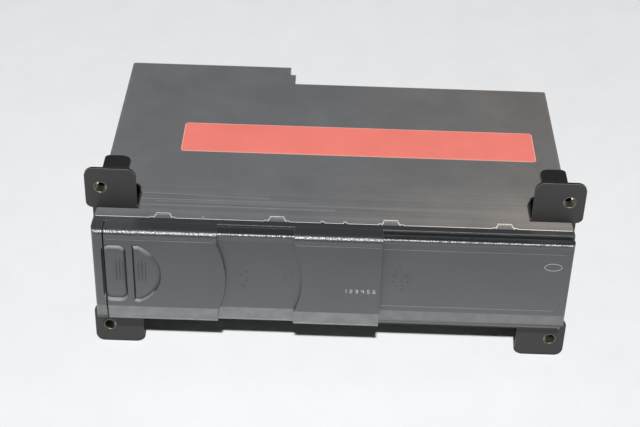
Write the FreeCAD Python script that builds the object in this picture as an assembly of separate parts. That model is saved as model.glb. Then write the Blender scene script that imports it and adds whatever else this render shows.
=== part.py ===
"""Car CD changer: a six-disc magazine changer with a sliding two-leaf door.

Drawing frame, in millimetres: X to the right along the front, Y to the rear from the seam between the
cover and the bezel, Z up from the cover's top face. Every piece is moved to the part frame when saved.
"""
import FreeCAD, Part
import math
import os

V = FreeCAD.Vector
os.makedirs("parts", exist_ok=True)

# Names ending in _IN are distances in from the case's left or right end, and names ending in _UP are heights
# above its floor; the places are worked out from them below.

# Case
CASE_WIDTH = 255.0
CASE_HEIGHT = 67.5
DEPTH_LEFT = 166.0
DEPTH_RIGHT = 146.0
STEP_X_IN = 98.7
SHEET = 1.0
BEND_RADIUS = 1.6
SEAM_GAP = 0.2
SHEET_GAP = 0.15
LIP_HEIGHT = 9.0
TRAY_FLANGE_HEIGHT = 14.0
TRAY_FRONT_HEIGHT = 8.0
HEM_WIDTH = 3.3
HEM_END = 157.0

# Snap windows along the cover's front edge
SNAP_X = (-90.9, -30.3, 30.3, 90.9)
SNAP_WIDTH = 9.9
SNAP_DEPTH = 3.7
SNAP_DROP = 0.35
SNAP_SLOT_WIDTH = 7.3
SNAP_SLOT = 0.7
SNAP_NOTCH_WIDTH = 1.6
SNAP_NOTCH_DEPTH = 0.9
TONGUE_WIDTH = 7.0
TONGUE_LENGTH = 4.5
BARB_WIDTH = 6.0
BARB_LENGTH = 0.5
BARB_HEIGHT = 0.3
TONGUE_THICKNESS = 0.8
TONGUE_GAP = 0.1
NOTCH_X = (-6.0, 6.0)
NOTCH_WIDTH = 1.6
NOTCH_DEPTH = 1.5

# Brackets
BRACKET_SHEET = 1.6
EAR_INSET = 7.8
EAR_HEIGHT = 24.8
EAR_INNER_X_IN = 22.2
EAR_REACH = 5.1
EAR_RADIUS = 5.0
EAR_FOOT_RADIUS = 3.5
FLANGE_WIDE_X_IN = 23.0
FLANGE_WIDE_END = 27.0
FLANGE_NARROW_X_IN = 13.0
FLANGE_END = 57.0
FLANGE_WIDE_RADIUS = 6.0
FLANGE_END_RADIUS = 5.0
FLANGE_OUTER_RADIUS = 2.6
SIDE_PLATE_RADIUS = 4.0
BOLT_X_IN = 3.2
BOLT_RISE = 13.1
BOLT_HOLE_R = 3.2
COLLAR_R = 4.5
COLLAR_LENGTH = 4.4
BRACKET_SCREW_Y = (18.0, 46.0)
BRACKET_SCREW_RISE = 7.0
BRACKET_SCREW_R = 2.0
BRACKET_SCREW_HEAD_R = 3.5
BRACKET_SCREW_HEAD = 2.0
BRACKET_SCREW_LENGTH = 4.5
COVER_SCREW_R = 1.5
COVER_SCREW_HEAD_R = 2.8
COVER_SCREW_HEAD = 1.3
COVER_SCREW_LENGTH = 3.0
COVER_SCREW_FRONT_Y = 90.0
COVER_SCREW_REAR_INSET = 10.0
SCREW_CLEARANCE = 0.25
THREAD_FIT = 0.05

# Label on the cover
LABEL_LEFT_IN = 39.5
LABEL_RIGHT_IN = 13.5
LABEL_FRONT = 66.4
LABEL_REAR = 96.8
LABEL_THICKNESS = 0.12
LABEL_RADIUS = 2.0

# Bezel
LEDGE_DEPTH = 4.2
PANEL_FACE = 10.0
PANEL_DROP = 2.0
PANEL_RADIUS = 1.6
HIGH_FACE = 13.7
HIGH_RISE = 0.4
HIGH_RADIUS = 3.0
LOW_FACE = 11.6
LOW_DROP = 0.85
LOW_RADIUS = 1.6
CHAMFER_TOP_UP = 17.9
CHAMFER_IN = 1.5
RIM_OUT = 0.25
RIM_THICKNESS = 0.7
BEZEL_RIM_TOP_UP = 10.2
LEAF_CLEARANCE = 0.25
BEZEL_UNDERCUT_UP = 1.1
END_BLOCK_WIDTH = 6.0
END_BLOCK_RADIUS = 3.5
RIGHT_END_RADIUS = 2.5
OPENING_LEFT_IN = 7.0
OPENING_RIGHT_IN = 145.0
OPENING_TOP = 7.5
OPENING_BOTTOM_UP = 16.5
HOLLOW_LEFT_IN = 146.5
HOLLOW_RIGHT_IN = 2.5
HOLLOW_DEPTH = 7.6
HOLLOW_TOP = 7.0
HOLLOW_BOTTOM_UP = 12.5
TOP_GROOVE_WIDTH = 1.4
TOP_GROOVE_DEPTH = 5.0
BOTTOM_GROOVE_FRONT = 6.5
BOTTOM_GROOVE_WIDTH = 1.4
BOTTOM_GROOVE_TOP_UP = 11.5
LINE_WIDTH = 0.35
LINE_DEPTH = 0.3
PANEL_LINE_TOP = 8.2
PANEL_LINE_BOTTOM_UP = 21.5
PANEL_LINE_LEFT_IN = 154.3
PANEL_LINE_TOP_END_IN = 4.5
PANEL_LINE_BOTTOM_END_IN = 7.1
TEXTURE_LINE = 5.0
TEXTURE_LINE_DEPTH = 0.15

# Door leaves
INNER_LEFT_IN = 64.0
INNER_RIGHT_IN = 153.5
INNER_GAP = 0.4
WAVE_X_IN = 107.0
WAVE_BULGE = 4.4
WAVE_TOP = 8.0
WAVE_BOTTOM_UP = 16.5
HOOK_THICKNESS = 0.6
TOP_HOOK_DEPTH = 4.4
BOTTOM_HOOK_TOP_UP = 11.1
OUTER_LEFT_IN = 6.8
OUTER_RIGHT_IN = 66.2
OUTER_INNER_FACE = 12.0
OUTER_RIM_INNER = 10.8
OUTER_FLANGE = 0.95
OUTER_CORNER_RADIUS = 1.6
LUG_LEFT_IN = 8.5
LUG_RIGHT_IN = 22.5
POCKET_LEFT_IN = 113.5
POCKET_RIGHT_IN = 151.5
POCKET_TOP = 8.0
POCKET_BOTTOM_UP = 20.5
POCKET_FRONT = 12.2

# Finger recesses
RECESS_LEFT_IN = 4.9
RECESS_RIGHT_IN = 18.1
RECESS_TOP = 8.7
RECESS_BOTTOM_UP = 21.2
RECESS_DEPTH = 1.7
RECESS_RADIUS = 4.5
RECESS_WALL_DRAFT = 0.3
RECESS_LOW_DRAFT = 0.9
TRENCH = 0.2
SWELL_STEPS = 5
CREST_SINK = 0.4
CREST_SIDE = 2.0
CREST_TOP = 3.6
CREST_LOW = 6.4
SLOPE_LEFT_IN = 21.4
SLOPE_RIGHT_IN = 36.3
SLOPE_SHOULDER = 3.2
SLOPE_CREST_LEFT = 1.1
SLOPE_CREST_RIGHT = 5.8
SLOPE_DEPTH = 1.35
SLOPE_SINK = 0.15
SLOPE_LOW_DRAFT = 0.7
BOSS_RIGHT_IN = 22.6
BOSS_BACK = 10.35
BOSS_TOP = 8.0
BOSS_BOTTOM_UP = 17.0
RIB_WIDTH = 0.7
RIB_PITCH = 1.9
RIB_TOP = 19.5
RIB_BOTTOM = 32.0
RIB_HEIGHT = 0.6
RIB_LEFT_X_IN = 13.9
RIB_RIGHT_X_IN = 25.8

# Floating deck
DECK_TOP_UP = 19.4
DECK_SHEET = 1.2
DECK_LEFT_IN = 4.5
DECK_SPLIT_IN = 137.5
DECK_FRONT = 3.2
DECK_REAR = 141.5
DECK_RIGHT_IN = 3.5
DECK_STRIP_FRONT = -1.2
DECK_STRIP_LEFT_IN = 148.0
DECK_STRIP_REAR = 133.4
DECK_WALL = 18.0
DAMPER_LEFT_IN = 13.5
DAMPER_MIDDLE_IN = 129.5
DAMPER_FRONT = 12.0
DAMPER_REAR = 130.0
DAMPER_RIGHT_IN = 9.5
DAMPER_RIGHT_Y = 138.4
DAMPER_R = 4.0
COIL_R = 4.8
COIL_WIRE_R = 0.4
COIL_TURNS = 5
LINK_SHARE = 0.7
GLIDE_THICKNESS = 0.8
GLIDE_WIDTH = 5.0
GLIDE_LEFT_IN = 11.5
GLIDE_RIGHT_IN = 127.5

# Guide posts and lift drive
POST_R = 1.5
POST_FIT = 0.05
FRONT_POST_LEFT_IN = 155.5
FRONT_POST_RIGHT_IN = 15.5
FRONT_POST_Y = 1.6
REAR_POST_X_IN = 197.5
REAR_POST_Y = 135.4
POST_TOP = 4.0
BRIDGE_THICKNESS = 1.0
BRIDGE_REACH = 4.0
BRIDGE_HALF = 1.5
LIFT_SCREW_X_IN = 23.5
LIFT_SCREW_Y = 137.6
LIFT_SCREW_R = 1.5
LIFT_SCREW_GAP = 0.35
LIFT_MOTOR_R = 4.4
LIFT_MOTOR_BOTTOM_UP = 1.2

# Magazine
MAG_LEFT_IN = 8.0
MAG_RIGHT_IN = 135.5
MAG_FRONT = 2.0
MAG_REAR = 132.5
MAG_TOP = 9.6
MAG_BOTTOM_UP = 20.4
MAG_SKIN = 1.5
MAG_WALL = 2.0
MAG_FRONT_WALL = 3.5
SHELF_REACH = 3.0
SHELF_THICKNESS = 1.2
SHELF_GAP = 0.2

# Trays
TRAY_COUNT = 6
TRAY_SIZE = 124.0
TRAY_LEFT_IN = 10.5
TRAY_FRONT = 6.0
TRAY_TOP = 13.3
TRAY_THICKNESS = 2.4
TRAY_CORNER_R = 4.0
DISC_POCKET_R = 60.5
DISC_POCKET_DEPTH = 1.4
TRAY_HOLE_R = 18.0
TRAY_SLOT_WIDTH = 32.0
TRAY_TRAVEL = 112.5
TAB_Y = 124.5
TAB_NECK_WIDTH = 2.0
TAB_NECK_LENGTH = 2.2
TAB_HEAD_WIDTH = 6.0
TAB_HEAD_LENGTH = 1.0
TAB_THICKNESS = 1.8

# Lift
LIFT_LEFT_IN = 147.5
LIFT_RIGHT_IN = 3.5
LIFT_BOTTOM = 25.2
LIFT_SHEET = 1.2
LIFT_WALL = 1.0
LIFT_FRONT_Y = 4.3
LIFT_REAR_Y = 132.7
LIFT_WALL_TOP = 10.5
LEDGE_TOP = 15.9
LEDGE_SHEET = 1.0
FRONT_LEDGE_REACH = 3.0
REAR_LEDGE_REACH = 2.5
WINDOW_LEFT_IN = 162.5
WINDOW_FRONT = 42.0
WINDOW_REAR = 122.5
BOSS_R = 2.9
LIFT_BOSS_BOTTOM = 18.0
RAIL_LEFT_IN = 138.0
RAIL_RIGHT_IN = 2.0
RAIL_Y = 126.7
RAIL_WEB = 1.0
RAIL_HEAD = 2.2
RAIL_HEAD_HEIGHT = 1.2
RAIL_TOP = 17.3
HOOK_FIT = 0.25
HOOK_LENGTH = 2.8
HOOK_FRONT = 124.4
HOOK_REAR = 129.0
HOOK_BOTTOM = 22.5
HOOK_SHOULDER = 16.9
HOOK_TOP = 13.0
FINGER_LEFT_IN = 135.8
FINGER_WIDTH = 0.6
FINGER_FRONT = 125.9
HOOK_WALL = 1.0

# Player
PLAY_X_IN = 185.0
PLAY_Y = 68.0
ARM_LEFT_IN = 175.0
ARM_RIGHT_IN = 195.0
ARM_FRONT = 56.0
ARM_TOP = 7.6
ARM_SHEET = 1.0
ARM_HOLE_R = 6.0
CLAMPER_R = 12.0
CLAMPER_NECK_R = 5.0
CLAMPER_FLANGE_R = 9.0
CLAMPER_BOTTOM = 12.2
CLAMPER_PUCK = 2.7
CLAMPER_TOP = 6.4
CHASSIS_TOP = 22.2
CHASSIS_SHEET = 1.0
CHASSIS_LEFT_IN = 165.0
CHASSIS_RIGHT_IN = 5.0
CHASSIS_FRONT = 44.0
CHASSIS_REAR = 121.0
PIVOT_Y = 120.0
PIVOT_Z = 22.7
PIN_R = 1.0
PIN_FIT = 0.05
LUG_R = 2.2
LUG_LENGTH = 3.0
EAR_THICKNESS = 1.1
SPINDLE_R = 11.0
SPINDLE_HEIGHT = 8.3
SHAFT_R = 1.0
SHAFT_GAP = 0.35
TURNTABLE_R = 14.0
TURNTABLE_TOP = 17.3
TURNTABLE_THICKNESS = 1.5
HUB_R = 7.3
HUB_HEIGHT = 1.0
ROD_Y = (57.0, 79.0)
ROD_Z = 20.6
ROD_R = 1.5
ROD_FIT = 0.05
BLOCK_LEFT_IN = 196.5
BLOCK_WIDTH = 3.0
END_BLOCK_X_IN = 6.5
END_BLOCK_LENGTH = 1.5
SCREW_Y = 86.5
SCREW_Z = 21.9
SCREW_R = 1.3
SCREW_GAP = 0.35
SLED_MOTOR_R = 3.8
SLED_MOTOR_LEFT_IN = 171.5
SLED_MOTOR_RIGHT_IN = 191.5
SLED_X_IN = 209.0
SLED_HALF = 6.0
SLED_FRONT = 54.5
SLED_REAR = 81.5
SLED_TOP = 18.4
SLED_BOTTOM = 22.9
LENS_R = 3.0
LENS_RISE = 0.25

# Eject button and lever
BUTTON_LEFT_IN = 138.7
BUTTON_WIDTH = 5.0
BUTTON_FRONT = 8.0
BUTTON_DEPTH = 3.8
BUTTON_TOP = 22.0
BUTTON_BOTTOM = 36.0
STEM_WIDTH = 3.0
STEM_HEIGHT = 4.0
STEM_END = 0.8
STEM_FIT = 0.15
PLATE_FRONT = -0.4
PLATE_THICKNESS = 0.8
PLATE_LEFT_IN = 136.1
PLATE_RIGHT_IN = 144.7
PLATE_TOP = 20.0
REAR_LEG_Y = 5.2
REAR_LEG = 0.6
SWITCH_DEPTH = 1.7
SPRING_R = 2.9
SPRING_WIRE_R = 0.2
SPRING_TURNS = 4
LEVER_X_IN = 15.5
LEVER_Y = 139.0
LEVER_PIVOT_R = 1.5
LEVER_FIT = 0.08
LEVER_HUB_R = 4.0
LEVER_TOP_UP = 31.0
LEVER_SHEET = 1.5
PAD_X_IN = 43.5
PAD_Y = 134.5
PAD_R = 1.5
PAD_TOP_UP = 33.5
PAD_BOTTOM_UP = 27.5
LEVER_HALF = 1.4

# Electronics
BOARD_TOP_UP = 6.0
BOARD_THICKNESS = 1.6
BOARD_LEFT_IN = 21.5
BOARD_RIGHT_IN = 121.5
BOARD_FRONT = 20.0
BOARD_REAR = 124.0
NECK_RIGHT_IN = 93.5
NECK_REAR = 160.0
STANDOFF_R = 3.0
STANDOFF_SPOTS_IN = ((26.5, 25.0), (116.5, 25.0), (26.5, 119.0), (116.5, 119.0), (88.5, 155.0))
BOARD_SCREW_R = 1.25
BOARD_SCREW_HEAD_R = 2.4
BOARD_SCREW_HEAD = 1.3
BOARD_SCREW_LENGTH = 4.4
CHIP_SPOTS_IN = ((49.5, 52.0, 20.0, 14.0), (83.5, 60.0, 14.0, 14.0), (47.5, 88.0, 12.0, 8.0),
                 (75.5, 92.0, 10.0, 16.0), (101.5, 84.0, 8.0, 10.0), (61.5, 132.0, 10.0, 8.0))
CHIP_HEIGHT = 2.2
CAPACITOR_SPOTS_IN = ((105.5, 40.0), (105.5, 52.0), (31.5, 66.0), (31.5, 78.0), (79.5, 112.0),
                      (67.5, 112.0))
CAPACITOR_R = 4.0
CAPACITOR_HEIGHT = 9.5
SINK_LEFT_IN = 97.5
SINK_RIGHT_IN = 113.5
SINK_FRONT = 98.0
SINK_DEPTH = 10.0
SINK_HEIGHT = 9.5
SINK_FINS = 5
SINK_FIN = 1.0
CONNECTOR_LEFT_IN = 26.5
CONNECTOR_RIGHT_IN = 48.5
CONNECTOR_FRONT = 148.0
CONNECTOR_REAR = 165.4
CONNECTOR_TOP_UP = 21.5
CONNECTOR_WALL = 3.0
CONNECTOR_FLOOR = 2.6
CONNECTOR_CAVITY = 154.0
CONNECTOR_GAP = 0.2
CONNECTOR_PIN_PITCH = 2.5
CONNECTOR_PIN = 0.7
CONNECTOR_PIN_START = 150.0
CONNECTOR_PIN_END = 160.0


def from_left(spots):
    """Spots whose first number is measured from the case's left end."""
    return tuple((LEFT_END + spot[0],) + spot[1:] for spot in spots)


# Places from the case's left end
HALF = CASE_WIDTH / 2
LEFT_END = -HALF
RIGHT_END = HALF
STEP_X = LEFT_END + STEP_X_IN
LABEL_LEFT = LEFT_END + LABEL_LEFT_IN
OPENING_LEFT = LEFT_END + OPENING_LEFT_IN
OPENING_RIGHT = LEFT_END + OPENING_RIGHT_IN
HOLLOW_LEFT = LEFT_END + HOLLOW_LEFT_IN
PANEL_LINE_LEFT = LEFT_END + PANEL_LINE_LEFT_IN
INNER_LEFT = LEFT_END + INNER_LEFT_IN
INNER_RIGHT = LEFT_END + INNER_RIGHT_IN
WAVE_X = LEFT_END + WAVE_X_IN
OUTER_LEFT = LEFT_END + OUTER_LEFT_IN
OUTER_RIGHT = LEFT_END + OUTER_RIGHT_IN
LUG_LEFT = LEFT_END + LUG_LEFT_IN
LUG_RIGHT = LEFT_END + LUG_RIGHT_IN
POCKET_LEFT = LEFT_END + POCKET_LEFT_IN
POCKET_RIGHT = LEFT_END + POCKET_RIGHT_IN
RECESS_LEFT = LEFT_END + RECESS_LEFT_IN
RECESS_RIGHT = LEFT_END + RECESS_RIGHT_IN
SLOPE_LEFT = LEFT_END + SLOPE_LEFT_IN
SLOPE_RIGHT = LEFT_END + SLOPE_RIGHT_IN
BOSS_RIGHT = LEFT_END + BOSS_RIGHT_IN
RIB_LEFT_X = LEFT_END + RIB_LEFT_X_IN
RIB_RIGHT_X = LEFT_END + RIB_RIGHT_X_IN
DECK_LEFT = LEFT_END + DECK_LEFT_IN
DECK_SPLIT = LEFT_END + DECK_SPLIT_IN
DECK_STRIP_LEFT = LEFT_END + DECK_STRIP_LEFT_IN
REAR_POST_X = LEFT_END + REAR_POST_X_IN
MAG_LEFT = LEFT_END + MAG_LEFT_IN
MAG_RIGHT = LEFT_END + MAG_RIGHT_IN
TRAY_LEFT = LEFT_END + TRAY_LEFT_IN
LIFT_LEFT = LEFT_END + LIFT_LEFT_IN
WINDOW_LEFT = LEFT_END + WINDOW_LEFT_IN
RAIL_LEFT = LEFT_END + RAIL_LEFT_IN
FINGER_LEFT = LEFT_END + FINGER_LEFT_IN
PLAY_X = LEFT_END + PLAY_X_IN
ARM_LEFT = LEFT_END + ARM_LEFT_IN
ARM_RIGHT = LEFT_END + ARM_RIGHT_IN
CHASSIS_LEFT = LEFT_END + CHASSIS_LEFT_IN
BLOCK_LEFT = LEFT_END + BLOCK_LEFT_IN
SLED_MOTOR_LEFT = LEFT_END + SLED_MOTOR_LEFT_IN
SLED_MOTOR_RIGHT = LEFT_END + SLED_MOTOR_RIGHT_IN
SLED_X = LEFT_END + SLED_X_IN
BUTTON_LEFT = LEFT_END + BUTTON_LEFT_IN
PLATE_LEFT = LEFT_END + PLATE_LEFT_IN
PLATE_RIGHT = LEFT_END + PLATE_RIGHT_IN
LEVER_X = LEFT_END + LEVER_X_IN
PAD_X = LEFT_END + PAD_X_IN
BOARD_LEFT = LEFT_END + BOARD_LEFT_IN
BOARD_RIGHT = LEFT_END + BOARD_RIGHT_IN
NECK_RIGHT = LEFT_END + NECK_RIGHT_IN
SINK_LEFT = LEFT_END + SINK_LEFT_IN
SINK_RIGHT = LEFT_END + SINK_RIGHT_IN
CONNECTOR_LEFT = LEFT_END + CONNECTOR_LEFT_IN
CONNECTOR_RIGHT = LEFT_END + CONNECTOR_RIGHT_IN
DAMPER_SPOTS_IN = ((DAMPER_LEFT_IN, DAMPER_FRONT), (DAMPER_LEFT_IN, DAMPER_REAR),
                   (DAMPER_MIDDLE_IN, DAMPER_FRONT), (DAMPER_MIDDLE_IN, DAMPER_REAR))
DAMPER_SPOTS = from_left(DAMPER_SPOTS_IN) + ((RIGHT_END - DAMPER_RIGHT_IN, DAMPER_RIGHT_Y),)
GLIDE_X = (LEFT_END + GLIDE_LEFT_IN, LEFT_END + GLIDE_RIGHT_IN)
STANDOFF_SPOTS = from_left(STANDOFF_SPOTS_IN)
CHIP_SPOTS = from_left(CHIP_SPOTS_IN)
CAPACITOR_SPOTS = from_left(CAPACITOR_SPOTS_IN)

# Places from the case's right end
EAR_INNER_X = RIGHT_END - EAR_INNER_X_IN
FLANGE_WIDE_X = RIGHT_END - FLANGE_WIDE_X_IN
FLANGE_NARROW_X = RIGHT_END - FLANGE_NARROW_X_IN
BOLT_X = RIGHT_END - BOLT_X_IN
LABEL_RIGHT = RIGHT_END - LABEL_RIGHT_IN
HOLLOW_RIGHT = RIGHT_END - HOLLOW_RIGHT_IN
PANEL_LINE_TOP_END = RIGHT_END - PANEL_LINE_TOP_END_IN
PANEL_LINE_BOTTOM_END = RIGHT_END - PANEL_LINE_BOTTOM_END_IN
DECK_RIGHT = RIGHT_END - DECK_RIGHT_IN
LIFT_SCREW_X = RIGHT_END - LIFT_SCREW_X_IN
LIFT_RIGHT = RIGHT_END - LIFT_RIGHT_IN
RAIL_RIGHT = RIGHT_END - RAIL_RIGHT_IN
CHASSIS_RIGHT = RIGHT_END - CHASSIS_RIGHT_IN
END_BLOCK_X = RIGHT_END - END_BLOCK_X_IN
EAR_OUTER_X = RIGHT_END + EAR_REACH
FRONT_POST_X = (LEFT_END + FRONT_POST_LEFT_IN, RIGHT_END - FRONT_POST_RIGHT_IN)

# Places from the case's floor
BEZEL_UNDERCUT = CASE_HEIGHT - BEZEL_UNDERCUT_UP
BEZEL_RIM_TOP = CASE_HEIGHT - BEZEL_RIM_TOP_UP
CHAMFER_TOP = CASE_HEIGHT - CHAMFER_TOP_UP
OPENING_BOTTOM = CASE_HEIGHT - OPENING_BOTTOM_UP
HOLLOW_BOTTOM = CASE_HEIGHT - HOLLOW_BOTTOM_UP
BOTTOM_GROOVE_TOP = CASE_HEIGHT - BOTTOM_GROOVE_TOP_UP
BOTTOM_HOOK_TOP = CASE_HEIGHT - BOTTOM_HOOK_TOP_UP
PANEL_LINE_BOTTOM = CASE_HEIGHT - PANEL_LINE_BOTTOM_UP
WAVE_BOTTOM = CASE_HEIGHT - WAVE_BOTTOM_UP
POCKET_BOTTOM = CASE_HEIGHT - POCKET_BOTTOM_UP
RECESS_BOTTOM = CASE_HEIGHT - RECESS_BOTTOM_UP
BOSS_BOTTOM = CASE_HEIGHT - BOSS_BOTTOM_UP
DECK_TOP = CASE_HEIGHT - DECK_TOP_UP
LIFT_MOTOR_BOTTOM = CASE_HEIGHT - LIFT_MOTOR_BOTTOM_UP
BOARD_TOP = CASE_HEIGHT - BOARD_TOP_UP
CONNECTOR_TOP = CASE_HEIGHT - CONNECTOR_TOP_UP
LEVER_TOP = CASE_HEIGHT - LEVER_TOP_UP
PAD_TOP = CASE_HEIGHT - PAD_TOP_UP
PAD_BOTTOM = CASE_HEIGHT - PAD_BOTTOM_UP
MAG_BOTTOM = CASE_HEIGHT - MAG_BOTTOM_UP
TRAY_ROOM = MAG_BOTTOM - MAG_SKIN - SHELF_THICKNESS - SHELF_GAP - TRAY_THICKNESS - TRAY_TOP
TRAY_PITCH = TRAY_ROOM / (TRAY_COUNT - 1)

FRONT_REACH = HIGH_FACE
BIG = 400.0
OVER = 1.0
Y_SHIFT = -(DEPTH_LEFT - FRONT_REACH) / 2
Z_SHIFT = CASE_HEIGHT + EAR_HEIGHT


def box(x0, x1, y0, y1, z0, z1):
    """A block between two corners."""
    return Part.makeBox(x1 - x0, y1 - y0, z1 - z0, V(x0, y0, z0))


def rod(radius, start, end):
    """A cylinder between two points."""
    start = V(*start)
    axis = V(*end) - start
    return Part.makeCylinder(radius, axis.Length, start, axis)


def flat_face(points, place):
    """The face inside a closed outline; two numbers are a corner, four are an arc's middle and end."""
    first = place(*points[0])
    here = first
    edges = []
    for item in list(points[1:]) + [points[0]]:
        there = place(*item[-2:])
        if len(item) == 4:
            edges.append(Part.Arc(here, place(*item[:2]), there).toShape())
        elif (there - here).Length > 1e-6:
            edges.append(Part.makeLine(here, there))
        here = there
    return Part.Face(Part.Wire(edges))


def along_x(points, x0, x1):
    """A bar along X with an outline of (y, z) points."""
    return flat_face(points, lambda y, z: V(x0, y, z)).extrude(V(x1 - x0, 0, 0))


def along_y(points, y0, y1):
    """A bar along Y with an outline of (x, z) points."""
    return flat_face(points, lambda x, z: V(x, y0, z)).extrude(V(0, y1 - y0, 0))


def along_z(points, z0, z1):
    """A bar along Z with an outline of (x, y) points."""
    return flat_face(points, lambda x, y: V(x, y, z0)).extrude(V(0, 0, z1 - z0))


def round_edges(shape, radius, axis, where):
    """Round the straight edges along one axis whose middle passes a test."""
    chosen = []
    for edge in shape.Edges:
        if len(edge.Vertexes) != 2 or not isinstance(edge.Curve, Part.Line):
            continue
        run = edge.Vertexes[1].Point - edge.Vertexes[0].Point
        if run.cross(V(*axis)).Length < 1e-6 * run.Length and where(edge.CenterOfMass):
            chosen.append(edge)
    return shape.makeFillet(radius, chosen)


def near(value, target):
    """True when a coordinate lies on a given plane."""
    return abs(value - target) < 1e-3


def compound(shapes):
    """Separate solids kept in one piece file."""
    return Part.makeCompound(list(shapes))


def join(first, *rest):
    """One solid from touching solids."""
    return first.multiFuse(list(rest)).removeSplitter()


def mirror_x(shape):
    """The same shape on the other side of the middle."""
    return shape.mirror(V(0, 0, 0), V(1, 0, 0))


def save(name, shape):
    """Move a piece to the part frame and write its file."""
    shape = shape.copy()
    shape.translate(V(0, Y_SHIFT, Z_SHIFT))
    shape.exportStep("parts/" + name + ".step")


def coil(x, y, radius, wire, z0, z1, turns):
    """A spring standing on z0: one ring per turn, linked on alternate sides."""
    low, high = z0 + wire, z1 - wire
    pitch = (high - low) / turns
    spring = Part.makeTorus(radius, wire, V(x, y, low))
    for turn in range(turns):
        z = low + turn * pitch
        side = x + (radius if turn % 2 else -radius)
        spring = spring.fuse(rod(wire * LINK_SHARE, (side, y, z), (side, y, z + pitch)))
        spring = spring.fuse(Part.makeTorus(radius, wire, V(x, y, z + pitch)))
    return spring


def case_plan(inset, z0, z1, front):
    """A slab with the stepped plan of the case, pulled in at the sides and the rear."""
    edge = HALF - inset
    wide = box(-edge, edge, front, DEPTH_RIGHT - inset, z0, z1)
    deep = box(-edge, STEP_X - inset, front, DEPTH_LEFT - inset, z0, z1)
    return join(wide, deep)


def screw_lines(ys, rise):
    """The side screws as (side, y, z)."""
    return [(side, y, rise - CASE_HEIGHT) for side in (-1, 1) for y in ys(side)]


def cover_screw_ys(side):
    """Where the cover screws sit along one side."""
    depth = DEPTH_LEFT if side < 0 else DEPTH_RIGHT
    return (COVER_SCREW_FRONT_Y, depth - COVER_SCREW_REAR_INSET)


def bracket_screw_ys(side):
    """Where the bracket screws sit along one side."""
    return BRACKET_SCREW_Y


def side_holes(radius, spots, x0, x1):
    """Cutters for holes through a side wall between two distances from the middle."""
    return compound(rod(radius, (side * x0, y, z), (side * x1, y, z)) for side, y, z in spots)


BRACKET_SCREWS = screw_lines(bracket_screw_ys, BRACKET_SCREW_RISE)
COVER_SCREWS = screw_lines(cover_screw_ys, BRACKET_SCREW_RISE)
TRAY_INSET = SHEET + SHEET_GAP


def top_cover():
    """The folded top cover with side walls, rear lips, snap windows and notches."""
    outer = case_plan(0, -CASE_HEIGHT, 0, SEAM_GAP)
    outer = round_edges(outer, BEND_RADIUS, (0, 1, 0), lambda c: near(c.z, 0) and near(abs(c.x), HALF))
    inner = case_plan(SHEET, -CASE_HEIGHT - OVER, -SHEET, -OVER)
    shape = outer.cut(inner)
    inside = HALF - SHEET
    below = box(-inside, inside, DEPTH_RIGHT - 2 * SHEET, DEPTH_LEFT + OVER, -CASE_HEIGHT - OVER, -LIP_HEIGHT)
    rear_left = box(-HALF, -inside, DEPTH_LEFT - SHEET, DEPTH_LEFT, -CASE_HEIGHT, -LIP_HEIGHT)
    rear_right = box(inside, HALF, DEPTH_RIGHT - SHEET, DEPTH_RIGHT, -CASE_HEIGHT, -LIP_HEIGHT)
    shape = shape.cut(below).fuse(compound([rear_left, rear_right]))
    hem = box(STEP_X, STEP_X + HEM_WIDTH, DEPTH_RIGHT, HEM_END, -SHEET, 0)
    shape = join(shape, hem)
    for x in SNAP_X:
        front, rear = SEAM_GAP, SEAM_GAP + SNAP_DEPTH
        half, slot = SNAP_WIDTH / 2, SNAP_SLOT_WIDTH / 2
        tab = [(x - half, front - OVER), (x + half, front - OVER), (x + half, front), (x + slot, rear),
               (x - slot, rear), (x - half, front)]
        shape = shape.cut(along_z(tab, -SNAP_DROP, OVER))
        shape = shape.cut(box(x - slot, x + slot, rear, rear + SNAP_SLOT, -SHEET - OVER, OVER))
        for side in (-1, 1):
            edge = x + side * (half + SNAP_NOTCH_WIDTH / 2)
            shape = shape.cut(box(edge - SNAP_NOTCH_WIDTH / 2, edge + SNAP_NOTCH_WIDTH / 2, front - OVER,
                                  front + SNAP_NOTCH_DEPTH, -SHEET - OVER, OVER))
    for x in NOTCH_X:
        half = NOTCH_WIDTH / 2
        shape = shape.cut(box(x - half, x + half, SEAM_GAP - OVER, SEAM_GAP + NOTCH_DEPTH,
                              -SHEET - OVER, OVER))
    holes = side_holes(BRACKET_SCREW_R + SCREW_CLEARANCE, BRACKET_SCREWS, inside - OVER, HALF + OVER)
    more = side_holes(COVER_SCREW_R + SCREW_CLEARANCE, COVER_SCREWS, inside - OVER, HALF + OVER)
    return shape.cut(holes).cut(more).removeSplitter()


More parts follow.
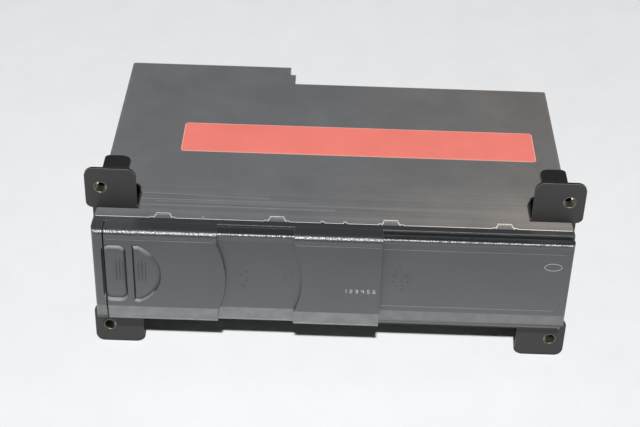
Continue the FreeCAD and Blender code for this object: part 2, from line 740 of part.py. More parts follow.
def chassis_tray():
    """The bottom tray with low side and front flanges and the rear walls."""
    floor = -CASE_HEIGHT
    front = SEAM_GAP + SHEET_GAP + SHEET_GAP
    shape = case_plan(TRAY_INSET, floor, -SHEET - SEAM_GAP, front)
    shape = shape.cut(case_plan(TRAY_INSET + SHEET, floor + SHEET, OVER, front + SHEET))
    edge = HALF - TRAY_INSET
    flange = floor + TRAY_FLANGE_HEIGHT
    for x0, x1, depth in ((-edge, -edge + SHEET, DEPTH_LEFT), (edge - SHEET, edge, DEPTH_RIGHT)):
        shape = shape.cut(box(x0, x1, -OVER, depth - TRAY_INSET - SHEET, flange, OVER))
    shape = shape.cut(box(-HALF, HALF, -OVER, front + SHEET, floor + TRAY_FRONT_HEIGHT, OVER))
    gap = CONNECTOR_GAP
    shape = shape.cut(box(CONNECTOR_LEFT - gap, CONNECTOR_RIGHT + gap, DEPTH_LEFT - TRAY_INSET - 2 * SHEET,
                          DEPTH_LEFT, -BOARD_TOP - gap, -CONNECTOR_TOP + gap))
    holes = side_holes(BRACKET_SCREW_R + THREAD_FIT, BRACKET_SCREWS, edge - 2 * SHEET, edge + OVER)
    more = side_holes(COVER_SCREW_R + THREAD_FIT, COVER_SCREWS, edge - 2 * SHEET, edge + OVER)
    return shape.cut(holes).cut(more).removeSplitter()


def ear(z0, z1, corner_z, foot_z):
    """An upright bracket ear with its two far corners and its outer foot corner rounded."""
    y0, y1 = EAR_INSET, EAR_INSET + BRACKET_SHEET
    plate = box(EAR_INNER_X, EAR_OUTER_X, y0, y1, z0, z1)
    plate = round_edges(plate, EAR_RADIUS, (0, 1, 0), lambda c: near(c.z, corner_z))
    return round_edges(plate, EAR_FOOT_RADIUS, (0, 1, 0),
                       lambda c: near(c.z, foot_z) and near(c.x, EAR_OUTER_X))


def bracket():
    """The right-hand mounting bracket."""
    t = BRACKET_SHEET
    outer = HALF + t
    side = box(HALF, outer, EAR_INSET, FLANGE_END, -CASE_HEIGHT, 0)
    side = round_edges(side, SIDE_PLATE_RADIUS, (1, 0, 0), lambda c: near(c.y, FLANGE_END))
    outline = [(FLANGE_WIDE_X, EAR_INSET), (outer, EAR_INSET), (outer, FLANGE_END),
               (FLANGE_NARROW_X, FLANGE_END), (FLANGE_NARROW_X, FLANGE_WIDE_END),
               (FLANGE_WIDE_X, FLANGE_WIDE_END)]
    flange = along_z(outline, 0, t)
    flange = round_edges(flange, FLANGE_WIDE_RADIUS, (0, 0, 1),
                         lambda c: near(c.x, FLANGE_WIDE_X) and near(c.y, FLANGE_WIDE_END))
    flange = round_edges(flange, FLANGE_END_RADIUS, (0, 0, 1),
                         lambda c: near(c.x, FLANGE_NARROW_X) and near(c.y, FLANGE_END))
    flange = round_edges(flange, FLANGE_OUTER_RADIUS, (0, 0, 1),
                         lambda c: near(c.x, outer) and near(c.y, FLANGE_END))
    top = EAR_HEIGHT
    upper = ear(0, top, top, 0)
    rise = BOLT_RISE
    collar_end = EAR_INSET + t + COLLAR_LENGTH
    collar = rod(COLLAR_R, (BOLT_X, EAR_INSET, rise), (BOLT_X, collar_end, rise))
    half = join(flange, upper, collar)
    bore = rod(BOLT_HOLE_R, (BOLT_X, EAR_INSET - OVER, rise), (BOLT_X, collar_end + t, rise))
    half = half.cut(bore)
    other = half.mirror(V(0, 0, -CASE_HEIGHT / 2), V(0, 0, 1))
    shape = join(side, half, other)
    holes = side_holes(BRACKET_SCREW_R + SCREW_CLEARANCE, BRACKET_SCREWS, HALF - OVER, outer + OVER)
    return shape.cut(holes)


def side_screws(spots, radius, head_r, head, length, seat):
    """Screws with flat heads seated on a side face."""
    screws = []
    for side, y, z in spots:
        shank = rod(radius, (side * (seat - length), y, z), (side * seat, y, z))
        cap = rod(head_r, (side * seat, y, z), (side * (seat + head), y, z))
        slot = box(-BIG, BIG, y - head_r, y + head_r, z - head / 4, z + head / 4)
        inner = seat + head / 2
        slot = slot.common(box(inner, seat + 2 * head, -BIG, BIG, -BIG, BIG) if side > 0 else
                           box(-seat - 2 * head, -inner, -BIG, BIG, -BIG, BIG))
        screws.append(join(shank, cap).cut(slot))
    return compound(screws)


def top_label():
    """The printed label on the cover."""
    plate = box(LABEL_LEFT, LABEL_RIGHT, LABEL_FRONT, LABEL_REAR, 0, LABEL_THICKNESS)
    return round_edges(plate, LABEL_RADIUS, (0, 0, 1), lambda c: True)


def arc_corner(y, z, radius):
    """The rounded top front corner of a front section, as an arc item and its start."""
    mid = radius * (1 - math.sqrt(0.5))
    return [(y + radius, z), (y + mid, z - mid, y, z - radius)]


def bezel_section(face, top, radius, rim_top):
    """The front section of the fixed bezel, from the ledge round to the undercut."""
    chamfer = -face + CHAMFER_IN
    rim = chamfer - RIM_OUT
    bottom = -rim_top - RIM_THICKNESS
    groove = LEDGE_DEPTH + TOP_GROOVE_WIDTH
    lower = BOTTOM_GROOVE_FRONT - BOTTOM_GROOVE_WIDTH
    points = [(0, 0), (-LEDGE_DEPTH, 0), (-LEDGE_DEPTH, -TOP_GROOVE_DEPTH), (-groove, -TOP_GROOVE_DEPTH),
              (-groove, top)]
    points += arc_corner(-face, top, radius)
    points += [(-face, -CHAMFER_TOP), (chamfer, -rim_top), (rim, -rim_top), (rim, bottom),
               (-BOTTOM_GROOVE_FRONT, bottom), (-BOTTOM_GROOVE_FRONT, -BOTTOM_GROOVE_TOP),
               (-lower, -BOTTOM_GROOVE_TOP), (-lower, bottom), (-LEDGE_DEPTH, bottom), (0, -BEZEL_UNDERCUT)]
    return points


def end_section():
    """The front section of the raised block at the left end."""
    rim_top = BEZEL_RIM_TOP + RIM_THICKNESS + LEAF_CLEARANCE
    chamfer = -HIGH_FACE + CHAMFER_IN
    rim = chamfer - RIM_OUT
    points = [(0, 0), (-LEDGE_DEPTH, 0), (-LEDGE_DEPTH, HIGH_RISE)]
    points += arc_corner(-HIGH_FACE, HIGH_RISE, HIGH_RADIUS)
    points += [(-HIGH_FACE, -CHAMFER_TOP), (chamfer, -rim_top), (rim, -rim_top),
               (rim, -rim_top - RIM_THICKNESS), (-LEDGE_DEPTH, -rim_top - RIM_THICKNESS),
               (0, -BEZEL_UNDERCUT)]
    return points


def frustum(first, second, y0, y1):
    """A solid between two (x, z) outlines of the same make, one at each y."""
    outlines = ((first, y0), (second, y1))
    wires = [flat_face(points, lambda x, z: V(x, y, z)).OuterWire for points, y in outlines]
    return Part.makeLoft(wires, True, True)


def swelling(outline, foot, crest, y0, y1):
    """A cushion between two sets of outline limits, steepest at its foot and flat at its crest."""
    rings = []
    for step in range(SWELL_STEPS + 1):
        share = step / SWELL_STEPS
        rise = 1 - (1 - share) ** 2
        limits = [start + (end - start) * share for start, end in zip(foot, crest)]
        rings.append((outline(*limits), y0 + (y1 - y0) * rise))
    layers = [frustum(low[0], high[0], low[1], high[1]) for low, high in zip(rings, rings[1:])]
    return layers[0].multiFuse(layers[1:])


def cushioned(outline, rim, trench, foot, crest, depth, sink):
    """A cutter whose walls slope in to a trench, with a cushion swelling from the trench to a crest."""
    face = -HIGH_FACE
    bowl = frustum(outline(*rim), outline(*trench), face, face + depth)
    bowl = bowl.fuse(along_y(outline(*rim), face - OVER, face)).removeSplitter()
    return bowl.cut(swelling(outline, foot, crest, face + depth + OVER / 100, face + sink))


def rounded(left, right, bottom, top, radius):
    """A rectangle's outline with rounded corners, as (x, z) items."""
    mid = radius * (1 - math.sqrt(0.5))
    return [(left + radius, top), (right - radius, top), (right - mid, top - mid, right, top - radius),
            (right, bottom + radius), (right - mid, bottom + mid, right - radius, bottom),
            (left + radius, bottom), (left + mid, bottom + mid, left, bottom + radius),
            (left, top - radius), (left + mid, top - mid, left + radius, top)]


def left_recess():
    """Cutter for the left finger recess, shared by the end block and the outer leaf."""
    left, right, bottom, top = RECESS_LEFT, RECESS_RIGHT, -RECESS_BOTTOM, -RECESS_TOP
    wall, low = RECESS_WALL_DRAFT, RECESS_LOW_DRAFT
    foot = wall + TRENCH
    return cushioned(rounded, (left, right, bottom, top, RECESS_RADIUS),
                     (left + wall, right - wall, bottom + low, top - wall, RECESS_RADIUS - wall),
                     (left + foot, right - foot, bottom + low + TRENCH, top - foot, RECESS_RADIUS - foot),
                     (left + CREST_SIDE, right - CREST_SIDE, bottom + CREST_LOW, top - CREST_TOP,
                      RECESS_RADIUS - CREST_SIDE), RECESS_DEPTH, CREST_SINK)


def bowed(left, right, bottom, top, shoulder):
    """A D outline: a straight left side and a bowed right side, as (x, z) items."""
    return [(left, top), (left + shoulder, top), (right, (top + bottom) / 2, left + shoulder, bottom),
            (left, bottom)]


def right_recess():
    """Cutter for the right finger recess: steep on the left, with a cushion falling away to the right."""
    left, right, bottom, top = SLOPE_LEFT, SLOPE_RIGHT, -RECESS_BOTTOM, -RECESS_TOP
    wall, low = TRENCH, SLOPE_LOW_DRAFT
    foot = wall + TRENCH
    return cushioned(bowed, (left, right, bottom, top, SLOPE_SHOULDER),
                     (left + wall, right - wall, bottom + low, top - wall, SLOPE_SHOULDER - wall),
                     (left + foot, right - foot, bottom + low + TRENCH, top - foot, SLOPE_SHOULDER - foot),
                     (left + SLOPE_CREST_LEFT, right - SLOPE_CREST_RIGHT, bottom + CREST_LOW, top - CREST_TOP,
                      SLOPE_SHOULDER - SLOPE_CREST_LEFT), SLOPE_DEPTH, SLOPE_SINK)


def recess_ribs(middle, depth):
    """Three grip ribs standing on a recess floor."""
    floor = -HIGH_FACE + depth
    return [box(middle + step * RIB_PITCH - RIB_WIDTH / 2, middle + step * RIB_PITCH + RIB_WIDTH / 2,
                floor - RIB_HEIGHT, floor + RIB_HEIGHT / 4, -RIB_BOTTOM, -RIB_TOP) for step in (-1, 0, 1)]


def front_bezel():
    """The moulded front with its ledge, fixed panel, end block, opening, tongues and fine grooves."""
    shape = along_x(bezel_section(PANEL_FACE, -PANEL_DROP, PANEL_RADIUS, BEZEL_RIM_TOP), -HALF, HALF)
    plan = box(-HALF, HALF, -PANEL_FACE, OVER, -BIG / 2, BIG / 2)
    plan = round_edges(plan, RIGHT_END_RADIUS, (0, 0, 1),
                       lambda c: near(c.x, HALF) and near(c.y, -PANEL_FACE))
    shape = shape.common(plan)
    block_right = -HALF + END_BLOCK_WIDTH
    shape = shape.cut(box(-HALF - OVER, block_right, -PANEL_FACE - OVER, OVER, -BIG / 4, BIG / 4))
    block = along_x(end_section(), -HALF, block_right)
    window = box(-HALF, block_right + OVER, -HIGH_FACE, OVER, -BEZEL_UNDERCUT - OVER, OVER)
    window = round_edges(window, END_BLOCK_RADIUS, (0, 0, 1),
                         lambda c: near(c.x, -HALF) and near(c.y, -HIGH_FACE))
    block = block.common(window).cut(left_recess())
    shape = join(shape, block)
    shape = shape.cut(box(OPENING_LEFT, OPENING_RIGHT, -BIG / 4, OVER, -OPENING_BOTTOM, -OPENING_TOP))
    shape = shape.cut(box(HOLLOW_LEFT, HOLLOW_RIGHT, -HOLLOW_DEPTH, OVER, -HOLLOW_BOTTOM, -HOLLOW_TOP))
    face = -PANEL_FACE
    for z, end in ((PANEL_LINE_TOP, PANEL_LINE_TOP_END), (PANEL_LINE_BOTTOM, PANEL_LINE_BOTTOM_END)):
        shape = shape.cut(box(PANEL_LINE_LEFT, end, face - OVER, face + LINE_DEPTH, -z - LINE_WIDTH, -z))
    for x in SNAP_X:
        half = TONGUE_WIDTH / 2
        top = -SHEET - TONGUE_GAP
        tongue = box(x - half, x + half, -TONGUE_THICKNESS, TONGUE_LENGTH, top - TONGUE_THICKNESS, top)
        barb = box(x - BARB_WIDTH / 2, x + BARB_WIDTH / 2, TONGUE_LENGTH - BARB_LENGTH, TONGUE_LENGTH, top,
                   top + BARB_HEIGHT)
        shape = shape.fuse(compound([tongue])).fuse(barb)
    return shape.removeSplitter()


LEAF_RIM_TOP = BEZEL_RIM_TOP + RIM_THICKNESS + LEAF_CLEARANCE
LEAF_BOTTOM = LEAF_RIM_TOP + RIM_THICKNESS
INNER_FACE = PANEL_FACE + INNER_GAP
GROOVE_MIDDLE = LEDGE_DEPTH + TOP_GROOVE_WIDTH / 2
LOWER_MIDDLE = BOTTOM_GROOVE_FRONT - BOTTOM_GROOVE_WIDTH / 2
HOOK_BACK = GROOVE_MIDDLE - HOOK_THICKNESS / 2
HOOK_FACE = GROOVE_MIDDLE + HOOK_THICKNESS / 2
LOWER_BACK = LOWER_MIDDLE - HOOK_THICKNESS / 2
LOWER_FACE = LOWER_MIDDLE + HOOK_THICKNESS / 2
INNER_FLANGE = PANEL_DROP - LEAF_CLEARANCE


def leaf_section(face, top, radius):
    """The section of a leaf that hooks into the bezel's grooves above and below."""
    chamfer = -face + CHAMFER_IN
    rim = chamfer - RIM_OUT
    points = [(-HOOK_BACK, top)]
    points += arc_corner(-face, top, radius)
    points += [(-face, -CHAMFER_TOP), (chamfer, -LEAF_RIM_TOP), (rim, -LEAF_RIM_TOP), (rim, -LEAF_BOTTOM),
               (-LOWER_BACK, -LEAF_BOTTOM), (-LOWER_BACK, -BOTTOM_HOOK_TOP), (-LOWER_FACE, -BOTTOM_HOOK_TOP),
               (-LOWER_FACE, -LEAF_RIM_TOP), (-INNER_FACE + CHAMFER_IN, -LEAF_RIM_TOP),
               (-INNER_FACE, -CHAMFER_TOP), (-INNER_FACE, -INNER_FLANGE), (-HOOK_FACE, -INNER_FLANGE),
               (-HOOK_FACE, -TOP_HOOK_DEPTH), (-HOOK_BACK, -TOP_HOOK_DEPTH)]
    return points


def wave_outline(left, right, edge, bulge_on_left):
    """A leaf's front outline with one edge bowed to the right between two heights."""
    top, bottom = OVER + HIGH_RISE, -LEAF_BOTTOM - OVER
    bow = (edge + WAVE_BULGE, -(WAVE_TOP + WAVE_BOTTOM) / 2)
    if bulge_on_left:
        return [(edge, top), (right, top), (right, bottom), (edge, bottom), (edge, -WAVE_BOTTOM),
                bow + (edge, -WAVE_TOP)]
    return [(left, top), (edge, top), (edge, -WAVE_TOP), bow + (edge, -WAVE_BOTTOM), (edge, bottom),
            (left, bottom)]


def texture_line(left, right):
    """Cutter for the fine line where the textured rounding ends."""
    face = -HIGH_FACE
    return box(left, right, face - OVER, face + TEXTURE_LINE_DEPTH, -TEXTURE_LINE - LINE_WIDTH, -TEXTURE_LINE)


def door_inner_leaf():
    """The inner door leaf: a low part at the left and a raised part with a bowed edge."""
    low = along_x(leaf_section(LOW_FACE, -LOW_DROP, LOW_RADIUS), INNER_LEFT, WAVE_X + 2 * WAVE_BULGE)
    high = along_x(leaf_section(HIGH_FACE, HIGH_RISE, HIGH_RADIUS), WAVE_X - OVER, INNER_RIGHT)
    window = along_y(wave_outline(None, INNER_RIGHT + OVER, WAVE_X, True), -2 * HIGH_FACE, 0)
    shape = join(low, high.common(window))
    shape = shape.cut(texture_line(WAVE_X + OVER, INNER_RIGHT - OVER))
    return shape.cut(box(POCKET_LEFT, POCKET_RIGHT, -POCKET_FRONT, -LOWER_BACK, -POCKET_BOTTOM, -POCKET_TOP))


def door_outer_leaf():
    """The outer door leaf with both finger recesses; it hooks into the bezel at its left end only."""
    chamfer = -HIGH_FACE + CHAMFER_IN
    rim = chamfer - RIM_OUT
    under = HIGH_RISE - OUTER_FLANGE
    points = [(-HOOK_BACK, HIGH_RISE)]
    points += arc_corner(-HIGH_FACE, HIGH_RISE, HIGH_RADIUS)
    points += [(-HIGH_FACE, -CHAMFER_TOP), (chamfer, -LEAF_RIM_TOP), (rim, -LEAF_RIM_TOP),
               (rim, -LEAF_BOTTOM), (-OUTER_RIM_INNER, -LEAF_BOTTOM), (-OUTER_RIM_INNER, -BOTTOM_HOOK_TOP),
               (-OUTER_INNER_FACE, -CHAMFER_TOP), (-OUTER_INNER_FACE, under), (-HOOK_BACK, under)]
    skin = along_x(points, OUTER_LEFT, OUTER_RIGHT + 2 * WAVE_BULGE)
    skin = round_edges(skin, OUTER_CORNER_RADIUS, (0, 0, 1),
                       lambda c: near(c.x, OUTER_LEFT) and near(c.y, -HOOK_BACK))
    outline = wave_outline(OUTER_LEFT - OVER, None, OUTER_RIGHT, False)
    skin = skin.common(along_y(outline, -2 * HIGH_FACE, 0))
    top_lug = box(LUG_LEFT, LUG_RIGHT, -HOOK_FACE, -HOOK_BACK, -TOP_HOOK_DEPTH, under + OVER / 4)
    lip = box(LUG_LEFT, LUG_RIGHT, -OUTER_RIM_INNER - RIM_OUT, -LOWER_BACK, -LEAF_BOTTOM, -LEAF_RIM_TOP)
    bottom_lug = box(LUG_LEFT, LUG_RIGHT, -LOWER_FACE, -LOWER_BACK, -LEAF_BOTTOM, -BOTTOM_HOOK_TOP)
    boss = box(OUTER_LEFT, BOSS_RIGHT, -OUTER_INNER_FACE - OVER / 2, -BOSS_BACK, -BOSS_BOTTOM + OVER,
               -BOSS_TOP)
    shape = join(skin, top_lug, lip, bottom_lug, boss)
    shape = shape.cut(left_recess()).cut(right_recess())
    shape = shape.cut(texture_line(OUTER_LEFT + OVER, OUTER_RIGHT - OVER))
    ribs = recess_ribs(RIB_LEFT_X, CREST_SINK) + recess_ribs(RIB_RIGHT_X, SLOPE_SINK)
    return join(shape, *ribs)


def mech_deck():
    """The floating deck that carries the magazine bay, the guide posts and the lift motor."""
    top, bottom = -DECK_TOP, -DECK_TOP - DECK_SHEET
    plate = box(DECK_LEFT, DECK_SPLIT, DECK_FRONT, DECK_REAR, bottom, top)
    front = box(DECK_SPLIT, DECK_RIGHT, SEAM_GAP + OVER / 2, DECK_FRONT, bottom, top)
    nose = box(DECK_STRIP_LEFT, DECK_RIGHT, DECK_STRIP_FRONT, DECK_FRONT, bottom, top)
    rear = box(DECK_SPLIT, DECK_RIGHT, DECK_STRIP_REAR, DECK_REAR, bottom, top)
    wall = box(DECK_LEFT, DECK_LEFT + DECK_SHEET, DECK_FRONT, DECK_REAR, bottom, top + DECK_WALL)
    shape = join(plate, front, nose, rear, wall)
    hole = rod(LIFT_SCREW_R + LIFT_SCREW_GAP, (LIFT_SCREW_X, LIFT_SCREW_Y, bottom - OVER),
               (LIFT_SCREW_X, LIFT_SCREW_Y, top + OVER))
    return shape.cut(hole)


def rubber_dampers():
    """Five rubber feet between the case floor and the deck."""
    floor = -CASE_HEIGHT + SHEET
    deck = -DECK_TOP - DECK_SHEET
    waist = (deck - floor) / 3
    feet = []
    for x, y in DAMPER_SPOTS:
        foot = rod(DAMPER_R, (x, y, floor), (x, y, deck))
        ring = rod(DAMPER_R + OVER, (x, y, floor + waist), (x, y, deck - waist))
        ring = ring.cut(rod(DAMPER_R - OVER, (x, y, floor), (x, y, deck)))
        feet.append(foot.cut(ring))
    return compound(feet)


def suspension_springs():
    """A coil spring round each rubber foot."""
    floor = -CASE_HEIGHT + SHEET
    deck = -DECK_TOP - DECK_SHEET
    return compound(coil(x, y, COIL_R, COIL_WIRE_R, floor, deck, COIL_TURNS) for x, y in DAMPER_SPOTS)


def magazine_glides():
    """Two low-friction strips under the magazine."""
    top = -DECK_TOP + GLIDE_THICKNESS
    return compound(box(x, x + GLIDE_WIDTH, MAG_FRONT + 6 * OVER, MAG_REAR, -DECK_TOP, top) for x in GLIDE_X)


POSTS = ((FRONT_POST_X[0], FRONT_POST_Y), (FRONT_POST_X[1], FRONT_POST_Y), (REAR_POST_X, REAR_POST_Y))


def guide_posts():
    """The three posts the lift slides on."""
    return compound(rod(POST_R, (x, y, -DECK_TOP), (x, y, -POST_TOP)) for x, y in POSTS)


def post_bridges():
    """Plates that tie the post tops together and hold the top of the lift screw."""
    z0, z1 = -POST_TOP, -POST_TOP + BRIDGE_THICKNESS
    front = box(FRONT_POST_X[0] - BRIDGE_REACH, FRONT_POST_X[1] + BRIDGE_REACH, SEAM_GAP,
                FRONT_POST_Y + BRIDGE_HALF, z0, z1)
    rear = box(REAR_POST_X - BRIDGE_REACH, LIFT_SCREW_X + BRIDGE_REACH, REAR_POST_Y - BRIDGE_HALF,
               LIFT_SCREW_Y + BRIDGE_HALF, z0, z1)
    return compound([front, rear])


def lift_motor():
    """The motor under the deck that turns the lift screw."""
    x, y = LIFT_SCREW_X, LIFT_SCREW_Y
    top = -DECK_TOP - DECK_SHEET
    can = rod(LIFT_MOTOR_R, (x, y, -LIFT_MOTOR_BOTTOM + OVER), (x, y, top))
    end = rod(LIFT_MOTOR_R / 2, (x, y, -LIFT_MOTOR_BOTTOM), (x, y, top - OVER))
    return join(can, end)


def lift_screw():
    """The upright threaded rod that raises and lowers the lift."""
    x, y = LIFT_SCREW_X, LIFT_SCREW_Y
    return rod(LIFT_SCREW_R, (x, y, -DECK_TOP - DECK_SHEET + STEM_FIT), (x, y, -POST_TOP - STEM_FIT))


def tray_z(index):
    """The top face of a tray in the magazine."""
    return -TRAY_TOP - index * TRAY_PITCH


TRAY_RIGHT = TRAY_LEFT + TRAY_SIZE
TRAY_REAR = TRAY_FRONT + TRAY_SIZE
DISC_X = TRAY_LEFT + TRAY_SIZE / 2
DISC_Y = TRAY_FRONT + TRAY_SIZE / 2


def disc_tray(index):
    """One disc tray with its pocket, its slot for the player and its pull tab."""
    top = tray_z(index)
    bottom = top - TRAY_THICKNESS
    plate = box(TRAY_LEFT, TRAY_RIGHT, TRAY_FRONT, TRAY_REAR, bottom, top)
    plate = round_edges(plate, TRAY_CORNER_R, (0, 0, 1), lambda c: True)
    pocket = rod(DISC_POCKET_R, (DISC_X, DISC_Y, top - DISC_POCKET_DEPTH), (DISC_X, DISC_Y, top + OVER))
    hole = rod(TRAY_HOLE_R, (DISC_X, DISC_Y, bottom - OVER), (DISC_X, DISC_Y, top + OVER))
    half = TRAY_SLOT_WIDTH / 2
    slot = box(DISC_X, TRAY_RIGHT + OVER, DISC_Y - half, DISC_Y + half, bottom - OVER, top + OVER)
    shape = plate.cut(pocket).cut(hole).cut(slot)
    neck_end = TRAY_RIGHT + TAB_NECK_LENGTH
    neck = box(TRAY_RIGHT - OVER, neck_end, TAB_Y - TAB_NECK_WIDTH / 2, TAB_Y + TAB_NECK_WIDTH / 2,
               bottom, bottom + TAB_THICKNESS)
    head = box(neck_end, neck_end + TAB_HEAD_LENGTH, TAB_Y - TAB_HEAD_WIDTH / 2, TAB_Y + TAB_HEAD_WIDTH / 2,
               bottom, bottom + TAB_THICKNESS)
    return join(shape, neck, head)


def magazine_case():
    """The magazine: two skins, front grip wall, rear and left walls, and a shelf pair under each tray."""
    shape = box(MAG_LEFT, MAG_RIGHT, MAG_FRONT, MAG_REAR, -MAG_BOTTOM, -MAG_TOP)
    inside_front, inside_rear = MAG_FRONT + MAG_FRONT_WALL, MAG_REAR - MAG_WALL
    room = box(MAG_LEFT + MAG_WALL, MAG_RIGHT + OVER, inside_front, inside_rear, -MAG_BOTTOM + MAG_SKIN,
               -MAG_TOP - MAG_SKIN)
    shape = shape.cut(room)
    shelves = []
    for index in range(TRAY_COUNT):
        z1 = tray_z(index) - TRAY_THICKNESS - SHELF_GAP
        z0 = max(z1 - SHELF_THICKNESS, -MAG_BOTTOM)
        shelves.append(box(MAG_LEFT + OVER, MAG_RIGHT, inside_front - OVER, inside_front + SHELF_REACH,
                           z0, z1))
        shelves.append(box(MAG_LEFT + OVER, MAG_RIGHT, inside_rear - SHELF_REACH, inside_rear + OVER, z0, z1))
    return join(shape, *shelves)


def lift_frame():
    """The lift: bottom plate with a window, front and rear walls, tray ledges, post bosses and pivot ears."""
    bottom, floor = -LIFT_BOTTOM, -LIFT_BOTTOM + LIFT_SHEET
    plate = box(LIFT_LEFT, LIFT_RIGHT, LIFT_FRONT_Y, LIFT_REAR_Y, bottom, floor)
    plate = plate.cut(box(WINDOW_LEFT, LIFT_RIGHT + OVER, WINDOW_FRONT, WINDOW_REAR, bottom - OVER,
                          floor + OVER))
    front_in = LIFT_FRONT_Y + LIFT_WALL
    rear_in = LIFT_REAR_Y - LIFT_WALL
    front = box(LIFT_LEFT, LIFT_RIGHT, LIFT_FRONT_Y, front_in, bottom, -LIFT_WALL_TOP)
    rear = box(LIFT_LEFT, LIFT_RIGHT, rear_in, LIFT_REAR_Y, bottom, -LIFT_WALL_TOP)
    mast = box(ARM_LEFT, ARM_RIGHT, rear_in, LIFT_REAR_Y, -LIFT_WALL_TOP, -ARM_TOP - ARM_SHEET)
    ledge_low = -LEDGE_TOP - LEDGE_SHEET
    front_ledge = box(LIFT_LEFT, LIFT_RIGHT, front_in, front_in + FRONT_LEDGE_REACH, ledge_low, -LEDGE_TOP)
    rear_ledge = box(LIFT_LEFT, LIFT_RIGHT, rear_in - REAR_LEDGE_REACH, rear_in, ledge_low, -LEDGE_TOP)
    pieces = [plate, front, rear, mast, front_ledge, rear_ledge]
    spots = POSTS + ((LIFT_SCREW_X, LIFT_SCREW_Y),)
    for x, y in spots:
        pieces.append(rod(BOSS_R, (x, y, -LIFT_BOSS_BOTTOM), (x, y, -LIFT_WALL_TOP)))
    pieces.append(box(LIFT_SCREW_X - BOSS_R, LIFT_SCREW_X + BOSS_R, rear_in, LIFT_SCREW_Y, -LIFT_BOSS_BOTTOM,
                      -LIFT_WALL_TOP))
    pivot_half = LUG_R
    left_ear = box(CHASSIS_LEFT - OVER / 2 - EAR_THICKNESS, CHASSIS_LEFT - OVER / 2, PIVOT_Y - pivot_half,
                   WINDOW_REAR + OVER, bottom, -PIVOT_Z + pivot_half)
    right_ear = box(CHASSIS_RIGHT + OVER / 2, CHASSIS_RIGHT + OVER / 2 + EAR_THICKNESS, PIVOT_Y - pivot_half,
                    WINDOW_REAR + OVER, bottom, -PIVOT_Z + pivot_half)
    shape = join(*pieces, left_ear, right_ear)
    for x, y in POSTS:
        shape = shape.cut(rod(POST_R + POST_FIT, (x, y, -LIFT_BOSS_BOTTOM - OVER),
                              (x, y, -LIFT_WALL_TOP + OVER)))
    x, y = spots[-1]
    radius = LIFT_SCREW_R + LIFT_SCREW_GAP
    shape = shape.cut(rod(radius, (x, y, -LIFT_BOSS_BOTTOM - OVER), (x, y, -LIFT_WALL_TOP + OVER)))
    pin = rod(PIN_R + PIN_FIT, (CHASSIS_LEFT - 3 * OVER, PIVOT_Y, -PIVOT_Z),
              (LIFT_RIGHT + 3 * OVER, PIVOT_Y, -PIVOT_Z))
    return shape.cut(pin)


def traverse_pins():
    """The two pins the player's chassis tips on."""
    left = rod(PIN_R, (CHASSIS_LEFT - OVER / 2 - EAR_THICKNESS, PIVOT_Y, -PIVOT_Z),
               (CHASSIS_LEFT + LUG_LENGTH, PIVOT_Y, -PIVOT_Z))
    right = rod(PIN_R, (CHASSIS_RIGHT - LUG_LENGTH, PIVOT_Y, -PIVOT_Z),
                (CHASSIS_RIGHT + OVER / 2 + EAR_THICKNESS, PIVOT_Y, -PIVOT_Z))
    return compound([left, right])


def transfer_rail():
    """The T rail the transfer hook slides along."""
    neck = -RAIL_TOP - RAIL_HEAD_HEIGHT
    web = box(RAIL_LEFT, RAIL_RIGHT, RAIL_Y - RAIL_WEB / 2, RAIL_Y + RAIL_WEB / 2,
              -LIFT_BOTTOM + LIFT_SHEET, neck)
    head = box(RAIL_LEFT, RAIL_RIGHT, RAIL_Y - RAIL_HEAD / 2, RAIL_Y + RAIL_HEAD / 2, neck, -RAIL_TOP)
    return join(web, head)


def transfer_hook():
    """The slider on the rail with the hook that takes a tray's tab."""
    left, right = RAIL_LEFT, RAIL_LEFT + HOOK_LENGTH
    block = box(left, right, HOOK_FRONT, HOOK_REAR, -HOOK_BOTTOM, -HOOK_TOP)
    neck = -RAIL_TOP - RAIL_HEAD_HEIGHT
    head_half = RAIL_HEAD / 2 + HOOK_FIT
    web_half = RAIL_WEB / 2 + HOOK_FIT
    block = block.cut(box(left - OVER, right + OVER, RAIL_Y - head_half, RAIL_Y + head_half, neck - HOOK_FIT,
                          -RAIL_TOP + HOOK_FIT))
    block = block.cut(box(left - OVER, right + OVER, RAIL_Y - web_half, RAIL_Y + web_half,
                          -HOOK_BOTTOM - OVER, neck))
    back = box(FINGER_LEFT, right, HOOK_REAR - HOOK_WALL, HOOK_REAR, -HOOK_SHOULDER + OVER, -HOOK_TOP)
    finger = box(FINGER_LEFT, FINGER_LEFT + FINGER_WIDTH, FINGER_FRONT, HOOK_REAR,
                 -HOOK_SHOULDER + OVER, -HOOK_TOP)
    return join(block, back, finger)


def clamp_arm():
    """The arm over the turntable that holds the clamper."""
    top = -ARM_TOP
    plate = box(ARM_LEFT, ARM_RIGHT, ARM_FRONT, LIFT_REAR_Y, top - ARM_SHEET, top)
    plate = round_edges(plate, ARM_HOLE_R, (0, 0, 1), lambda c: near(c.y, ARM_FRONT))
    return plate.cut(rod(ARM_HOLE_R, (PLAY_X, PLAY_Y, top - 2 * OVER), (PLAY_X, PLAY_Y, top + OVER)))


def clamper():
    """The disc clamper hanging in the arm's hole."""
    def level(z):
        return (PLAY_X, PLAY_Y, -z)
    puck = rod(CLAMPER_R, level(CLAMPER_BOTTOM), level(CLAMPER_BOTTOM - CLAMPER_PUCK))
    neck = rod(CLAMPER_NECK_R, level(CLAMPER_BOTTOM), level(CLAMPER_TOP))
    flange = rod(CLAMPER_FLANGE_R, level(CLAMPER_TOP + OVER), level(CLAMPER_TOP))
    return join(puck, neck, flange)


